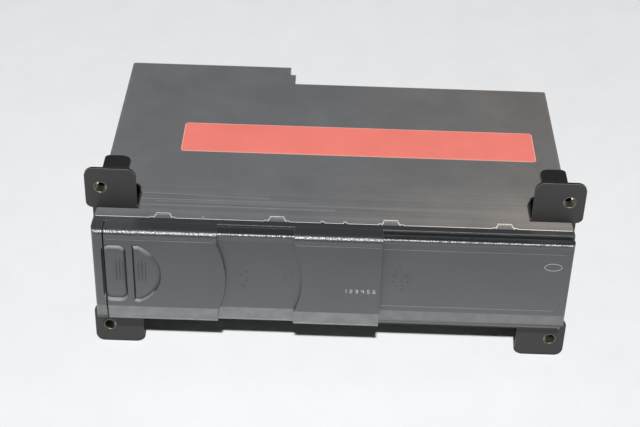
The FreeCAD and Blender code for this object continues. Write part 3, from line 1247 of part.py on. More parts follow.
def traverse_chassis():
    """The player's chassis: a plate with windows, pivot lugs and the blocks that hold rods and screw."""
    top, bottom = -CHASSIS_TOP, -CHASSIS_TOP - CHASSIS_SHEET
    plate = box(CHASSIS_LEFT, CHASSIS_RIGHT, CHASSIS_FRONT, CHASSIS_REAR, bottom, top)
    low, high = bottom - OVER, top + OVER
    screw_side = SLED_MOTOR_R + OVER
    window_front, window_rear = SLED_FRONT - 1.5 * OVER, SLED_REAR + 1.5 * OVER
    plate = plate.cut(box(BLOCK_LEFT + BLOCK_WIDTH, END_BLOCK_X, window_front, window_rear, low, high))
    plate = plate.cut(box(SLED_MOTOR_RIGHT, END_BLOCK_X, window_rear, SCREW_Y + screw_side - OVER, low, high))
    plate = plate.cut(box(SLED_MOTOR_LEFT - OVER, SLED_MOTOR_RIGHT + 2 * OVER, SCREW_Y - screw_side,
                          SCREW_Y + screw_side, low, high))
    rod_high = -ROD_Z + ROD_R + OVER / 5
    screw_high = -SCREW_Z + SCREW_R + OVER
    pieces = [plate]
    for x, length in ((BLOCK_LEFT, BLOCK_WIDTH), (END_BLOCK_X, END_BLOCK_LENGTH)):
        pieces.append(box(x, x + length, SLED_FRONT - OVER, SLED_REAR + OVER, bottom, rod_high))
        pieces.append(box(x, x + length, SLED_REAR, SCREW_Y + screw_side + OVER, bottom, screw_high))
    for x in (CHASSIS_LEFT, CHASSIS_RIGHT - LUG_LENGTH):
        pieces.append(rod(LUG_R, (x, PIVOT_Y, -PIVOT_Z), (x + LUG_LENGTH, PIVOT_Y, -PIVOT_Z)))
    shape = join(*pieces)
    for x in (CHASSIS_LEFT, CHASSIS_RIGHT - LUG_LENGTH):
        shape = shape.cut(rod(PIN_R + PIN_FIT, (x - OVER, PIVOT_Y, -PIVOT_Z),
                              (x + LUG_LENGTH, PIVOT_Y, -PIVOT_Z)))
    for y in ROD_Y:
        shape = shape.cut(rod(ROD_R + ROD_FIT, (BLOCK_LEFT - OVER, y, -ROD_Z),
                              (END_BLOCK_X + OVER / 2, y, -ROD_Z)))
    shape = shape.cut(rod(SCREW_R + SCREW_GAP, (BLOCK_LEFT - OVER, SCREW_Y, -SCREW_Z),
                          (END_BLOCK_X + OVER / 2, SCREW_Y, -SCREW_Z)))
    centre = (PLAY_X, PLAY_Y, low)
    return shape.cut(rod(SHAFT_R + SHAFT_GAP, centre, (PLAY_X, PLAY_Y, high)))


def sled_rods():
    """The two rods the sled slides on."""
    return compound(rod(ROD_R, (BLOCK_LEFT, y, -ROD_Z), (END_BLOCK_X + OVER / 2, y, -ROD_Z)) for y in ROD_Y)


def spindle_motor():
    """The flat motor under the turntable."""
    top = -CHASSIS_TOP - CHASSIS_SHEET
    can = rod(SPINDLE_R, (PLAY_X, PLAY_Y, top - SPINDLE_HEIGHT), (PLAY_X, PLAY_Y, top))
    return can.cut(rod(SHAFT_R + SHAFT_GAP, (PLAY_X, PLAY_Y, top - OVER), (PLAY_X, PLAY_Y, top + OVER)))


def turntable():
    """The disc turntable with its centring hub and shaft."""
    top = -TURNTABLE_TOP
    table = rod(TURNTABLE_R, (PLAY_X, PLAY_Y, top - TURNTABLE_THICKNESS), (PLAY_X, PLAY_Y, top))
    hub = Part.makeCone(HUB_R, HUB_R - OVER, HUB_HEIGHT, V(PLAY_X, PLAY_Y, top))
    shaft = rod(SHAFT_R, (PLAY_X, PLAY_Y, -CHASSIS_TOP - CHASSIS_SHEET - OVER / 2), (PLAY_X, PLAY_Y, top))
    return join(table, hub, shaft)


def sled_motor():
    """The small motor that turns the sled's lead screw."""
    left, right = SLED_MOTOR_LEFT, SLED_MOTOR_RIGHT
    can = rod(SLED_MOTOR_R, (left, SCREW_Y, -SCREW_Z), (right - OVER, SCREW_Y, -SCREW_Z))
    nose = rod(SLED_MOTOR_R / 2, (left, SCREW_Y, -SCREW_Z), (right, SCREW_Y, -SCREW_Z))
    reach = SLED_MOTOR_R + 2 * OVER
    strap = box(left + 5 * OVER, right - 5 * OVER, SCREW_Y - reach, SCREW_Y + reach,
                -CHASSIS_TOP, -CHASSIS_TOP + OVER)
    return join(can, nose, strap)


def lead_screw():
    """The threaded rod that drives the sled."""
    return rod(SCREW_R, (SLED_MOTOR_RIGHT + STEM_FIT, SCREW_Y, -SCREW_Z),
               (END_BLOCK_X + STEM_FIT, SCREW_Y, -SCREW_Z))


def sled_carriage():
    """The sled that carries the lens, with its nut arm round the lead screw."""
    x0, x1 = SLED_X - SLED_HALF, SLED_X + SLED_HALF
    body = box(x0, x1, SLED_FRONT, SLED_REAR, -SLED_BOTTOM, -SLED_TOP)
    arm_half = SLED_HALF / 3
    arm = box(SLED_X - arm_half, SLED_X + arm_half, SLED_REAR - OVER, SCREW_Y + 2.2 * OVER,
              -SCREW_Z - SCREW_R - OVER, -SCREW_Z + SCREW_R + OVER)
    shape = join(body, arm)
    for y in ROD_Y:
        shape = shape.cut(rod(ROD_R + ROD_FIT, (x0 - OVER, y, -ROD_Z), (x1 + OVER, y, -ROD_Z)))
    return shape.cut(rod(SCREW_R + SCREW_GAP, (x0 - OVER, SCREW_Y, -SCREW_Z), (x1 + OVER, SCREW_Y, -SCREW_Z)))


def objective_lens():
    """The lens ring on the sled."""
    ring = rod(LENS_R, (SLED_X, PLAY_Y, -SLED_TOP), (SLED_X, PLAY_Y, -SLED_TOP + LENS_RISE))
    return ring


STEM_X = BUTTON_LEFT + BUTTON_WIDTH / 2
STEM_Z = -(BUTTON_TOP + BUTTON_BOTTOM) / 2


def eject_button():
    """The eject button with its guide stem."""
    cap = box(BUTTON_LEFT, BUTTON_LEFT + BUTTON_WIDTH, -BUTTON_FRONT, -BUTTON_FRONT + BUTTON_DEPTH,
              -BUTTON_BOTTOM, -BUTTON_TOP)
    cap = round_edges(cap, OVER, (0, 1, 0), lambda c: True)
    stem = box(STEM_X - STEM_WIDTH / 2, STEM_X + STEM_WIDTH / 2, -BUTTON_FRONT + OVER, STEM_END,
               STEM_Z - STEM_HEIGHT / 2, STEM_Z + STEM_HEIGHT / 2)
    return join(cap, stem)


def eject_spring():
    """The return spring round the button's stem."""
    front, back = -BUTTON_FRONT + BUTTON_DEPTH, PLATE_FRONT
    spring = coil(0, 0, SPRING_R, SPRING_WIRE_R, 0, back - front, SPRING_TURNS)
    spring.rotate(V(0, 0, 0), V(1, 0, 0), -90)
    spring.translate(V(STEM_X, front, STEM_Z))
    return spring


def button_bracket():
    """The U bracket that guides the button and holds its switch."""
    foot = -DECK_TOP
    plate = box(PLATE_LEFT, PLATE_RIGHT, PLATE_FRONT, PLATE_FRONT + PLATE_THICKNESS, foot, -PLATE_TOP)
    half_x, half_z = STEM_WIDTH / 2 + STEM_FIT, STEM_HEIGHT / 2 + STEM_FIT
    plate = plate.cut(box(STEM_X - half_x, STEM_X + half_x, PLATE_FRONT - OVER, PLATE_FRONT + 2 * OVER,
                          STEM_Z - half_z, STEM_Z + half_z))
    web = box(PLATE_LEFT, PLATE_RIGHT, PLATE_FRONT, REAR_LEG_Y + REAR_LEG, foot, foot + PLATE_THICKNESS)
    leg = box(PLATE_LEFT, PLATE_RIGHT, REAR_LEG_Y, REAR_LEG_Y + REAR_LEG, foot, STEM_Z + 2 * STEM_HEIGHT)
    return join(plate, web, leg)


def eject_switch():
    """The switch the button's stem presses."""
    half = BUTTON_WIDTH / 2
    return box(STEM_X - half, STEM_X + half, REAR_LEG_Y - SWITCH_DEPTH, REAR_LEG_Y, STEM_Z - STEM_HEIGHT,
               STEM_Z + STEM_HEIGHT)


def eject_lever():
    """The lever that pushes the magazine out."""
    run = V(PAD_X - LEVER_X, PAD_Y - LEVER_Y, 0)
    side = V(-run.y, run.x, 0).normalize() * LEVER_HALF
    corners = [V(LEVER_X, LEVER_Y, 0) + side, V(LEVER_X, LEVER_Y, 0) - side, V(PAD_X, PAD_Y, 0) - side,
               V(PAD_X, PAD_Y, 0) + side]
    bar = along_z([(c.x, c.y) for c in corners], -LEVER_TOP - LEVER_SHEET, -LEVER_TOP)
    hub = rod(LEVER_HUB_R, (LEVER_X, LEVER_Y, -LEVER_TOP - LEVER_SHEET), (LEVER_X, LEVER_Y, -LEVER_TOP))
    pad = rod(PAD_R, (PAD_X, PAD_Y, -PAD_BOTTOM), (PAD_X, PAD_Y, -PAD_TOP))
    bore = rod(LEVER_PIVOT_R + LEVER_FIT, (LEVER_X, LEVER_Y, -PAD_BOTTOM), (LEVER_X, LEVER_Y, -PAD_TOP))
    return join(bar, hub, pad).cut(bore)


def lever_post():
    """The post the eject lever turns on, with a collar under and a cap over the lever."""
    x, y = LEVER_X, LEVER_Y
    under = -LEVER_TOP - LEVER_SHEET - STEM_FIT
    over = -LEVER_TOP + STEM_FIT
    post = rod(LEVER_PIVOT_R, (x, y, -DECK_TOP), (x, y, over))
    collar = rod(LEVER_PIVOT_R + OVER, (x, y, -DECK_TOP), (x, y, under))
    cap = rod(LEVER_PIVOT_R + OVER, (x, y, over), (x, y, over + OVER))
    return join(post, collar, cap)


def main_board():
    """The circuit board on the case floor."""
    top, bottom = -BOARD_TOP, -BOARD_TOP - BOARD_THICKNESS
    wide = box(BOARD_LEFT, BOARD_RIGHT, BOARD_FRONT, BOARD_REAR, bottom, top)
    neck = box(BOARD_LEFT, NECK_RIGHT, BOARD_FRONT, NECK_REAR, bottom, top)
    shape = join(wide, neck)
    for x, y in STANDOFF_SPOTS:
        shape = shape.cut(rod(BOARD_SCREW_R + SCREW_CLEARANCE, (x, y, bottom - OVER), (x, y, top + OVER)))
    return shape


def board_posts():
    """Stand-offs under the board."""
    posts = []
    top = -BOARD_TOP - BOARD_THICKNESS
    for x, y in STANDOFF_SPOTS:
        post = rod(STANDOFF_R, (x, y, -CASE_HEIGHT + SHEET), (x, y, top))
        posts.append(post.cut(rod(BOARD_SCREW_R + THREAD_FIT, (x, y, -CASE_HEIGHT), (x, y, top + OVER))))
    return compound(posts)


def board_screws():
    """The screws that hold the board."""
    screws = []
    for x, y in STANDOFF_SPOTS:
        top = -BOARD_TOP
        head = rod(BOARD_SCREW_HEAD_R, (x, y, top), (x, y, top + BOARD_SCREW_HEAD))
        shank = rod(BOARD_SCREW_R, (x, y, top - BOARD_SCREW_LENGTH), (x, y, top))
        screws.append(join(head, shank))
    return compound(screws)


def chips():
    """The integrated circuits on the board."""
    top = -BOARD_TOP
    return compound(box(x - w / 2, x + w / 2, y - d / 2, y + d / 2, top, top + CHIP_HEIGHT)
                    for x, y, w, d in CHIP_SPOTS)


def capacitors():
    """The electrolytic capacitors on the board."""
    top = -BOARD_TOP
    return compound(rod(CAPACITOR_R, (x, y, top), (x, y, top + CAPACITOR_HEIGHT)) for x, y in CAPACITOR_SPOTS)


def heat_sink():
    """The finned heat sink of the power regulator."""
    top = -BOARD_TOP
    base = box(SINK_LEFT, SINK_RIGHT, SINK_FRONT, SINK_FRONT + 2 * SINK_FIN, top, top + SINK_HEIGHT)
    pitch = (SINK_RIGHT - SINK_LEFT - SINK_FIN) / (SINK_FINS - 1)
    fins = [box(SINK_LEFT + i * pitch, SINK_LEFT + i * pitch + SINK_FIN, SINK_FRONT, SINK_FRONT + SINK_DEPTH,
                top, top + SINK_HEIGHT) for i in range(SINK_FINS)]
    return join(base, *fins)


def data_connector():
    """The rear socket for the cable to the radio."""
    bottom, top = -BOARD_TOP, -CONNECTOR_TOP
    shell = box(CONNECTOR_LEFT, CONNECTOR_RIGHT, CONNECTOR_FRONT, CONNECTOR_REAR, bottom, top)
    cavity = box(CONNECTOR_LEFT + CONNECTOR_WALL, CONNECTOR_RIGHT - CONNECTOR_WALL, CONNECTOR_CAVITY,
                 CONNECTOR_REAR + OVER, bottom + CONNECTOR_FLOOR, top - CONNECTOR_WALL)
    shell = shell.cut(cavity)
    for x, z in pin_spots():
        half = CONNECTOR_PIN / 2
        shell = shell.cut(box(x - half, x + half, CONNECTOR_PIN_START, CONNECTOR_CAVITY + OVER,
                              z - half, z + half))
    return shell


def pin_spots():
    """Two rows of contact pins in the socket, as (x, z)."""
    middle_x = (CONNECTOR_LEFT + CONNECTOR_RIGHT) / 2
    middle_z = -(BOARD_TOP - CONNECTOR_FLOOR + CONNECTOR_TOP + CONNECTOR_WALL) / 2
    across = (-2.5, -1.5, -0.5, 0.5, 1.5, 2.5)
    return [(middle_x + i * CONNECTOR_PIN_PITCH, middle_z + j * CONNECTOR_PIN_PITCH)
            for i in across for j in (-0.5, 0.5)]


def connector_pins():
    """The contact pins of the rear socket."""
    half = CONNECTOR_PIN / 2
    return compound(box(x - half, x + half, CONNECTOR_PIN_START, CONNECTOR_PIN_END, z - half, z + half)
                    for x, z in pin_spots())


save("top_cover", top_cover())
save("chassis_tray", chassis_tray())
save("bracket_right", bracket())
save("bracket_left", mirror_x(bracket()))
save("bracket_screws", side_screws(BRACKET_SCREWS, BRACKET_SCREW_R, BRACKET_SCREW_HEAD_R, BRACKET_SCREW_HEAD,
                                   BRACKET_SCREW_LENGTH, HALF + BRACKET_SHEET))
save("cover_screws", side_screws(COVER_SCREWS, COVER_SCREW_R, COVER_SCREW_HEAD_R, COVER_SCREW_HEAD,
                                 COVER_SCREW_LENGTH, HALF))
save("top_label", top_label())
save("front_bezel", front_bezel())
save("door_inner_leaf", door_inner_leaf())
save("door_outer_leaf", door_outer_leaf())
save("mech_deck", mech_deck())
save("rubber_dampers", rubber_dampers())
save("suspension_springs", suspension_springs())
save("magazine_glides", magazine_glides())
save("guide_posts", guide_posts())
save("post_bridges", post_bridges())
save("lift_motor", lift_motor())
save("lift_screw", lift_screw())
save("magazine_case", magazine_case())
for number in range(TRAY_COUNT):
    save("tray_" + str(number + 1), disc_tray(number))
save("lift_frame", lift_frame())
save("traverse_pins", traverse_pins())
save("transfer_rail", transfer_rail())
save("transfer_hook", transfer_hook())
save("clamp_arm", clamp_arm())
save("clamper", clamper())
save("traverse_chassis", traverse_chassis())
save("sled_rods", sled_rods())
save("spindle_motor", spindle_motor())
save("turntable", turntable())
save("sled_motor", sled_motor())
save("lead_screw", lead_screw())
save("sled_carriage", sled_carriage())
save("objective_lens", objective_lens())
save("eject_button", eject_button())
save("eject_spring", eject_spring())
save("button_bracket", button_bracket())
save("eject_switch", eject_switch())
save("eject_lever", eject_lever())
save("lever_post", lever_post())
save("main_board", main_board())
save("board_posts", board_posts())
save("board_screws", board_screws())
save("ic_packages", chips())
save("capacitors", capacitors())
save("heat_sink", heat_sink())
save("data_connector", data_connector())
save("connector_pins", connector_pins())
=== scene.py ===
import math

import bpy
import numpy as np
from mathutils import Matrix, Vector


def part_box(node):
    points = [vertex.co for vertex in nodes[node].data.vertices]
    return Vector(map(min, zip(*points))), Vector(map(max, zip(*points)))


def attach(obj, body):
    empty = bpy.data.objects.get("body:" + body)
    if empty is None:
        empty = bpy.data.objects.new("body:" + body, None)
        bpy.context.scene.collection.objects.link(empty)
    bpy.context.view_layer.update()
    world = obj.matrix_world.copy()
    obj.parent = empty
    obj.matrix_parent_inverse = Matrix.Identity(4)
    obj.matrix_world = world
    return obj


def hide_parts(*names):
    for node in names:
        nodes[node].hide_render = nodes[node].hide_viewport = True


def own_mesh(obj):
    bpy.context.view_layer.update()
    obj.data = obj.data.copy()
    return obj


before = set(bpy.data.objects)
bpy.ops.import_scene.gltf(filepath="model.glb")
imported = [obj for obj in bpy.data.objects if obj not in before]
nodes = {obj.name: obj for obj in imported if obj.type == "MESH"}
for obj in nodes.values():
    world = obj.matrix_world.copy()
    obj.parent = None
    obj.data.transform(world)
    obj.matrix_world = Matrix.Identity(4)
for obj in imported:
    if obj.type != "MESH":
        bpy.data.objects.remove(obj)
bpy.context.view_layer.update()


# ---- Top cover -------------------------------------------------------------------------------------------
# A folded sheet steel cover in dark grey satin paint, with a very fine orange-peel grain, a paler and
# warmer tone towards its front right, edges pale partly from wear and partly as a painted highlight, and
# five pale scratches near its front edge. Side screws hold it to the bottom tray.

def add_node(tree, kind, inputs, **settings):
    """Adds a shader node with its settings. Each input, by name or place, takes a value or the socket that
    feeds it."""
    node = tree.nodes.new("ShaderNode" + kind)
    for key, value in settings.items():
        setattr(node, key, value)
    for key, value in inputs.items():
        if isinstance(value, bpy.types.NodeSocket):
            tree.links.new(value, node.inputs[key])
        else:
            node.inputs[key].default_value = value
    return node


def ranged(tree, value, low, high, at_low=0.0, at_high=1.0):
    """A straight run from at_low to at_high while the value goes from low to high, and level past both."""
    inputs = {"Value": value, "From Min": low, "From Max": high, "To Min": at_low, "To Max": at_high}
    return add_node(tree, "MapRange", inputs).outputs["Result"]


def worked(tree, operation, *values, clamp=False):
    """The result of one operation on numbers."""
    node = add_node(tree, "Math", dict(enumerate(values)), operation=operation, use_clamp=clamp)
    return node.outputs["Value"]


def vector_worked(tree, result, operation, *vectors):
    """The result, Vector or Value, of one operation on vectors."""
    return add_node(tree, "VectorMath", dict(enumerate(vectors)), operation=operation).outputs[result]


def mixed(tree, share, first, second, blend="MIX"):
    """The first colour moved by a share towards the second, or with MULTIPLY towards their product."""
    node = add_node(tree, "Mix", {0: share, 6: first, 7: second}, data_type="RGBA", blend_type=blend)
    return node.outputs[2]


def noise(tree, place, scale, detail, roughness=0.5, **settings):
    """Soft noise at a place, about 0.5 on average, with its octaves weighted by roughness."""
    inputs = {"Vector": place, "Scale": scale, "Detail": detail, "Roughness": roughness}
    return add_node(tree, "TexNoise", inputs, **settings).outputs["Fac"]


def parted(tree, vector):
    """The three numbers of a vector, as outputs X, Y and Z."""
    return add_node(tree, "SeparateXYZ", {0: vector}).outputs


def place_in(tree):
    return tree.nodes["place"].outputs["Object"]


def finish(name, colour, roughness, metallic=0.0, grain=900.0, depth=0.00002, mottle=0.12, edge=0.00025,
           coat=0.0, shine=0.5, worn=None, wear=0.0006, lift=(-0.15, 0.25), painted_shade_reach=0.0):
    """A solid finish: the colour times a level that slow and fast noise move by mottle, uneven gloss, a
    fine relief and softened edges. Given an edge colour, sharp edges that turn upward take it in broken
    patches, as wide as wear: partly edge wear, partly a painted highlight where edges turn to the light;
    the lift range gives how far up they must turn, as normal heights. Given a shade reach, corners and
    gaps within that distance are darkened as painted shade. Returns the material, its node tree, the
    colour socket and the shader."""
    spread = 0.08
    mat = bpy.data.materials.new(name)
    mat.use_nodes = True
    tree = mat.node_tree
    tree.nodes.clear()
    place = add_node(tree, "TexCoord", {}, name="place").outputs["Object"]
    slow = noise(tree, place, 38.0, 6.0, 0.6)
    fast = noise(tree, place, grain, 3.0, name="grain")
    both = worked(tree, "MULTIPLY_ADD", fast, 0.5, slow)
    level = ranged(tree, both, 0.45, 1.05, 1.0 - mottle, 1.0 + mottle)
    tint = mixed(tree, 1.0, (*colour, 1.0), level, "MULTIPLY")
    gloss = ranged(tree, slow, 0.3, 0.7, max(roughness - spread, 0.02), min(roughness + spread, 1.0))
    soft = add_node(tree, "Bevel", {"Radius": edge}, samples=4).outputs["Normal"]
    relief = add_node(tree, "Bump", {"Strength": 1.0, "Distance": depth, "Height": fast, "Normal": soft},
                      name="relief").outputs["Normal"]
    shader = add_node(tree, "BsdfPrincipled", {
        "Roughness": gloss, "Metallic": metallic, "Specular IOR Level": min(shine, 1.0),
        "IOR": 1.5 + max(shine - 1.0, 0.0), "Coat Weight": coat, "Normal": relief}, name="shader")
    add_node(tree, "OutputMaterial", {"Surface": shader.outputs["BSDF"]})
    # Painted shade: ambient occlusion darkens the colour in corners and gaps.
    if painted_shade_reach > 0.0:
        painted_shade_ao = add_node(tree, "AmbientOcclusion", {"Distance": painted_shade_reach}, samples=8).outputs["AO"]
        tint = mixed(tree, 1.0, tint, ranged(tree, painted_shade_ao, 0.35, 0.85, 0.12, 1.0), "MULTIPLY")
    # Edge colour, partly wear and partly a painted highlight: only edges that turn upward take it.
    if worn is not None:
        wide = add_node(tree, "Bevel", {"Radius": wear}, samples=6).outputs["Normal"]
        flat = add_node(tree, "NewGeometry", {}).outputs["Normal"]
        turned = worked(tree, "SUBTRACT", 1.0, vector_worked(tree, "Value", "DOT_PRODUCT", wide, flat))
        edge_patches = worked(tree, "DIVIDE", turned, ranged(tree, slow, 0.3, 0.65, 0.06, 0.02), clamp=True)
        turned_to_light = ranged(tree, parted(tree, wide)["Z"], *lift)
        tint = mixed(tree, worked(tree, "MULTIPLY", edge_patches, turned_to_light), tint, (*worn, 1.0))
    tree.links.new(tint, shader.inputs["Base Color"])
    return mat, tree, tint, shader


def paint(mat, *names):
    """Gives CAD nodes this material and no other."""
    for name in names:
        slots = nodes[name].data.materials
        slots.clear()
        slots.append(mat)


# The pale edges are partly wear and partly a painted highlight on edges that turn upward.
mat, tree, tint, shader = finish("cover paint", (0.162, 0.164, 0.170), 0.5, grain=1500.0, depth=0.000012,
                                 mottle=0.1, worn=(0.85, 0.85, 0.84), wear=0.0005)
white = (1.0, 1.0, 1.0, 1.0)
paler_towards_front_right = (1.52, 1.44, 1.36, 1.0)
warmer_at_right = (1.10, 1.04, 0.97, 1.0)
scratched = (0.36, 0.36, 0.36, 1.0)
place = place_in(tree)
spot = parted(tree, place)
along_front = add_node(tree, "Mapping", {"Vector": place, "Scale": (7.0, 620.0, 40.0)}).outputs["Vector"]
streak = noise(tree, along_front, 1.0, 4.0)
# The cover is painted paler and warmer towards its front right.
near_right = ranged(tree, spot["X"], -0.02, 0.10)
near_front = ranged(tree, spot["Y"], -0.03, -0.066)
paled_front_right = mixed(tree, worked(tree, "MULTIPLY", near_right, near_front), white, paler_towards_front_right)
streaked = mixed(tree, near_front, paled_front_right, ranged(tree, streak, 0.3, 0.7, 0.86, 1.14), "MULTIPLY")
warmed = mixed(tree, near_right, white, warmer_at_right)
shade = mixed(tree, 1.0, warmed, streaked, "MULTIPLY")
painted = mixed(tree, 1.0, tint, shade, "MULTIPLY")

# Each scratch is a straight band, given by its two ends (x, y) and half its width.
scratches = (((-0.1055, -0.0526), (-0.0350, -0.0551), 0.00013),
             ((-0.1048, -0.0583), (-0.0132, -0.0586), 0.00014),
             ((-0.1046, -0.0639), (0.0004, -0.0641), 0.00015),
             ((-0.0960, -0.0601), (0.0410, -0.0612), 0.00009),
             ((-0.0700, -0.0748), (-0.0692, -0.0736), 0.0005))
marks = 0.0
for start, end, half_width in scratches:
    length = math.dist(start, end)
    along = ((end[0] - start[0]) / length, (end[1] - start[1]) / length, 0.0)
    across = (-along[1], along[0], 0.0)
    middle = ((start[0] + end[0]) / 2, (start[1] + end[1]) / 2, 0.0)
    here = vector_worked(tree, "Vector", "SUBTRACT", place, middle)
    run = vector_worked(tree, "Value", "DOT_PRODUCT", here, along)
    off = vector_worked(tree, "Value", "DOT_PRODUCT", here, across)
    within = worked(tree, "MULTIPLY", worked(tree, "COMPARE", run, 0.0, length / 2),
                    worked(tree, "COMPARE", off, 0.0, half_width))
    marks = worked(tree, "MAXIMUM", marks, within)
tree.links.new(mixed(tree, marks, painted, scratched), shader.inputs["Base Color"])
paint(mat, "top_cover")


# ---- Cover label -----------------------------------------------------------------------------------------
# A thin printed film label stuck on the cover: salmon red ink with a faint screen grain and a pale paper
# edge. It is left without words.

mat, tree, tint, shader = finish("label ink", (1.0, 0.255, 0.205), 0.42, grain=2600.0, depth=0.000004,
                                 mottle=0.07, edge=0.00003)
paper_edge = 0.0006
pale_paper = (0.95, 0.45, 0.38, 1.0)
label_low, label_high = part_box("top_label")
middle = (label_low + label_high) / 2
reach = (label_high - label_low) / 2
spot = parted(tree, place_in(tree))
inked = worked(tree, "MULTIPLY", worked(tree, "COMPARE", spot["X"], middle.x, reach.x - paper_edge),
               worked(tree, "COMPARE", spot["Y"], middle.y, reach.y - paper_edge))
tree.links.new(mixed(tree, inked, pale_paper, tint), shader.inputs["Base Color"])
paint(mat, "top_label")


# ---- Front bezel and door leaves -------------------------------------------------------------------------
# Moulded black styrene-like plastic. The flat faces have a fine spark-eroded texture; the rounded top and
# the sloped strip along the bottom are smoother, and the strip is painted lighter as a painted reflection
# of the pale table. Painted light also lies elsewhere: the face pales towards its foot as a painted
# reflection of the table, the recess slopes and upward edges carry a painted highlight, the foot rim is
# painted shade on the bezel and a painted highlight on the leaves, and gaps carry painted shade. The
# leaves hook into the bezel.

cover_low, cover_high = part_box("top_cover")
case_foot = cover_low.z
case_top = cover_high.z
crown_z = case_top - 0.0009
shoulder_z = case_top - 0.0050
strip_z = case_foot + 0.0179
bezel_rim_z = case_foot + 0.0103
leaf_rim_z = case_foot + 0.0092
recess_top_z = case_top - 0.0085
recess_foot_z = case_foot + 0.0210
# Reach and grey of the painted highlight on the upward slopes of the recesses.
highlight_reach_from_top = 0.0073
highlight_reach_from_foot = 0.0072
painted_highlight_grey = (0.2, 0.204, 0.21, 1.0)
dirt_black = (0.012, 0.012, 0.013, 1.0)
smooth_gloss = 0.345


def moulded(name, face_colour, reflecting_strip_colour, painted_rim_tone, rim_z, specks):
    """Black plastic: a satin face that pales towards its foot as a painted reflection of the pale table,
    pales above the crown, and takes a painted highlight on the upward slopes of the recesses; a strip below
    strip_z, painted lighter as a reflection of the table; a rim below rim_z in a tone given per call that
    paints the light there; and above the shoulder a coarser grain that glitters where it turns to the
    light.
    Specks are dirty patches as a middle (x, z) and half sizes (metres), where fine dark dots thin out
    towards the patch's edge."""
    mat, tree, tint, shader = finish(name, face_colour, 0.5, grain=1900.0, mottle=0.1, shine=1.08,
                                     worn=(0.2, 0.203, 0.208), wear=0.0002, lift=(0.2, 0.6), painted_shade_reach=0.0006)
    place = place_in(tree)
    height = parted(tree, place)["Z"]

    def step_at(z, half, below, above):
        """A factor that goes from one value to another within half a band's height of a level."""
        return ranged(tree, height, z - half, z + half, below, above)

    low = step_at(strip_z, 0.0002, 1.0, 0.0)
    rim = step_at(rim_z, 0.0001, 1.0, 0.0)
    high = step_at(shoulder_z, 0.0003, 0.0, 1.0)
    # Painted reflection: the face is lighter towards its foot, where it faces the pale table.
    face = mixed(tree, 1.0, tint, ranged(tree, height, strip_z, shoulder_z, 1.5, 0.6), "MULTIPLY")
    face = mixed(tree, 1.0, face, step_at(crown_z, 0.0006, 1.0, 2.2), "MULTIPLY")

    # Painted highlight: upward slopes near the top and foot of each recess are painted grey.
    normal = add_node(tree, "NewGeometry", {}).outputs["Normal"]
    upward = ranged(tree, parted(tree, normal)["Z"], 0.08, 0.42)
    ends = worked(tree, "MAXIMUM", step_at(recess_top_z - highlight_reach_from_top, 0.0010, 0.0, 1.0),
                  step_at(recess_foot_z + highlight_reach_from_foot, 0.0005, 1.0, 0.0))
    reached = worked(tree, "MULTIPLY", step_at(recess_foot_z, 0.0003, 0.0, 1.0),
                     step_at(recess_top_z, 0.0002, 1.0, 0.0))
    painted_highlight_on_slopes = worked(tree, "MULTIPLY", worked(tree, "MULTIPLY", reached, ends), upward)
    face = mixed(tree, painted_highlight_on_slopes, face, painted_highlight_grey)

    dots = add_node(tree, "TexVoronoi", {"Vector": place, "Scale": 520.0}).outputs["Distance"]
    for x, z, half_wide, half_tall in specks:
        away = vector_worked(tree, "Vector", "SUBTRACT", place, (x, 0.0, z))
        shrunk = vector_worked(tree, "Vector", "MULTIPLY", away, (1 / half_wide, 0.0, 1 / half_tall))
        distance = vector_worked(tree, "Value", "LENGTH", shrunk)
        dot = worked(tree, "LESS_THAN", dots, ranged(tree, distance, 0.6, 1.0, 0.37, 0.0))
        face = mixed(tree, dot, face, dirt_black)

    dust = ranged(tree, noise(tree, place, 160.0, 8.0), 0.35, 0.68, 0.82, 1.22)
    # The strip's lighter colour is a painted reflection of the pale table.
    strip = mixed(tree, 1.0, (*reflecting_strip_colour, 1.0), dust, "MULTIPLY")
    above_rim = mixed(tree, low, face, strip)
    # The rim's tone is painted light: shade on the bezel, a highlight on the leaves.
    tree.links.new(mixed(tree, rim, above_rim, (*painted_rim_tone, 1.0)), shader.inputs["Base Color"])

    satin = shader.inputs["Roughness"].links[0].from_socket
    smooth = worked(tree, "MAXIMUM", low, high)
    gloss = add_node(tree, "Mix", {0: smooth, 2: satin, 3: smooth_gloss}, data_type="FLOAT").outputs[0]
    tree.links.new(gloss, shader.inputs["Roughness"])
    coarse = add_node(tree, "TexVoronoi", {"Vector": place, "Scale": 1700.0}).outputs["Distance"]
    pebble = add_node(tree, "Bump", {
        "Strength": 0.8, "Distance": 0.00012, "Height": worked(tree, "MULTIPLY", coarse, high),
        "Normal": tree.nodes["relief"].outputs["Normal"]})
    tree.links.new(pebble.outputs["Normal"], shader.inputs["Normal"])
    return mat


bezel_specks = ((0.0370, 0.0645, 0.0080, 0.0105),)
leaf_specks = ((-0.0475, 0.0640, 0.0050, 0.0110), (-0.0240, 0.0630, 0.0045, 0.0070))
# The bezel's rim is painted near black as painted shade; the leaves' rim is painted pale as a painted
# highlight.
paint(moulded("bezel plastic", (0.033, 0.0345, 0.0375), (0.088, 0.092, 0.094), (0.011, 0.0115, 0.011),
              bezel_rim_z, bezel_specks), "front_bezel")
paint(moulded("door plastic", (0.031, 0.0325, 0.0355), (0.122, 0.127, 0.129), (0.13, 0.133, 0.135),
              leaf_rim_z, leaf_specks), "door_inner_leaf", "door_outer_leaf")


# ---- Mounting brackets -----------------------------------------------------------------------------------
# Folded 1.6 mm steel brackets in thin black paint with a soft sheen, screwed to the sides of the case. The
# extruded collars behind the bolt holes show bare zinc inside.

bolt_x = cover_high.x - 0.0032
bolt_past_case = 0.0131
bare_zinc = (0.46, 0.43, 0.33, 1.0)
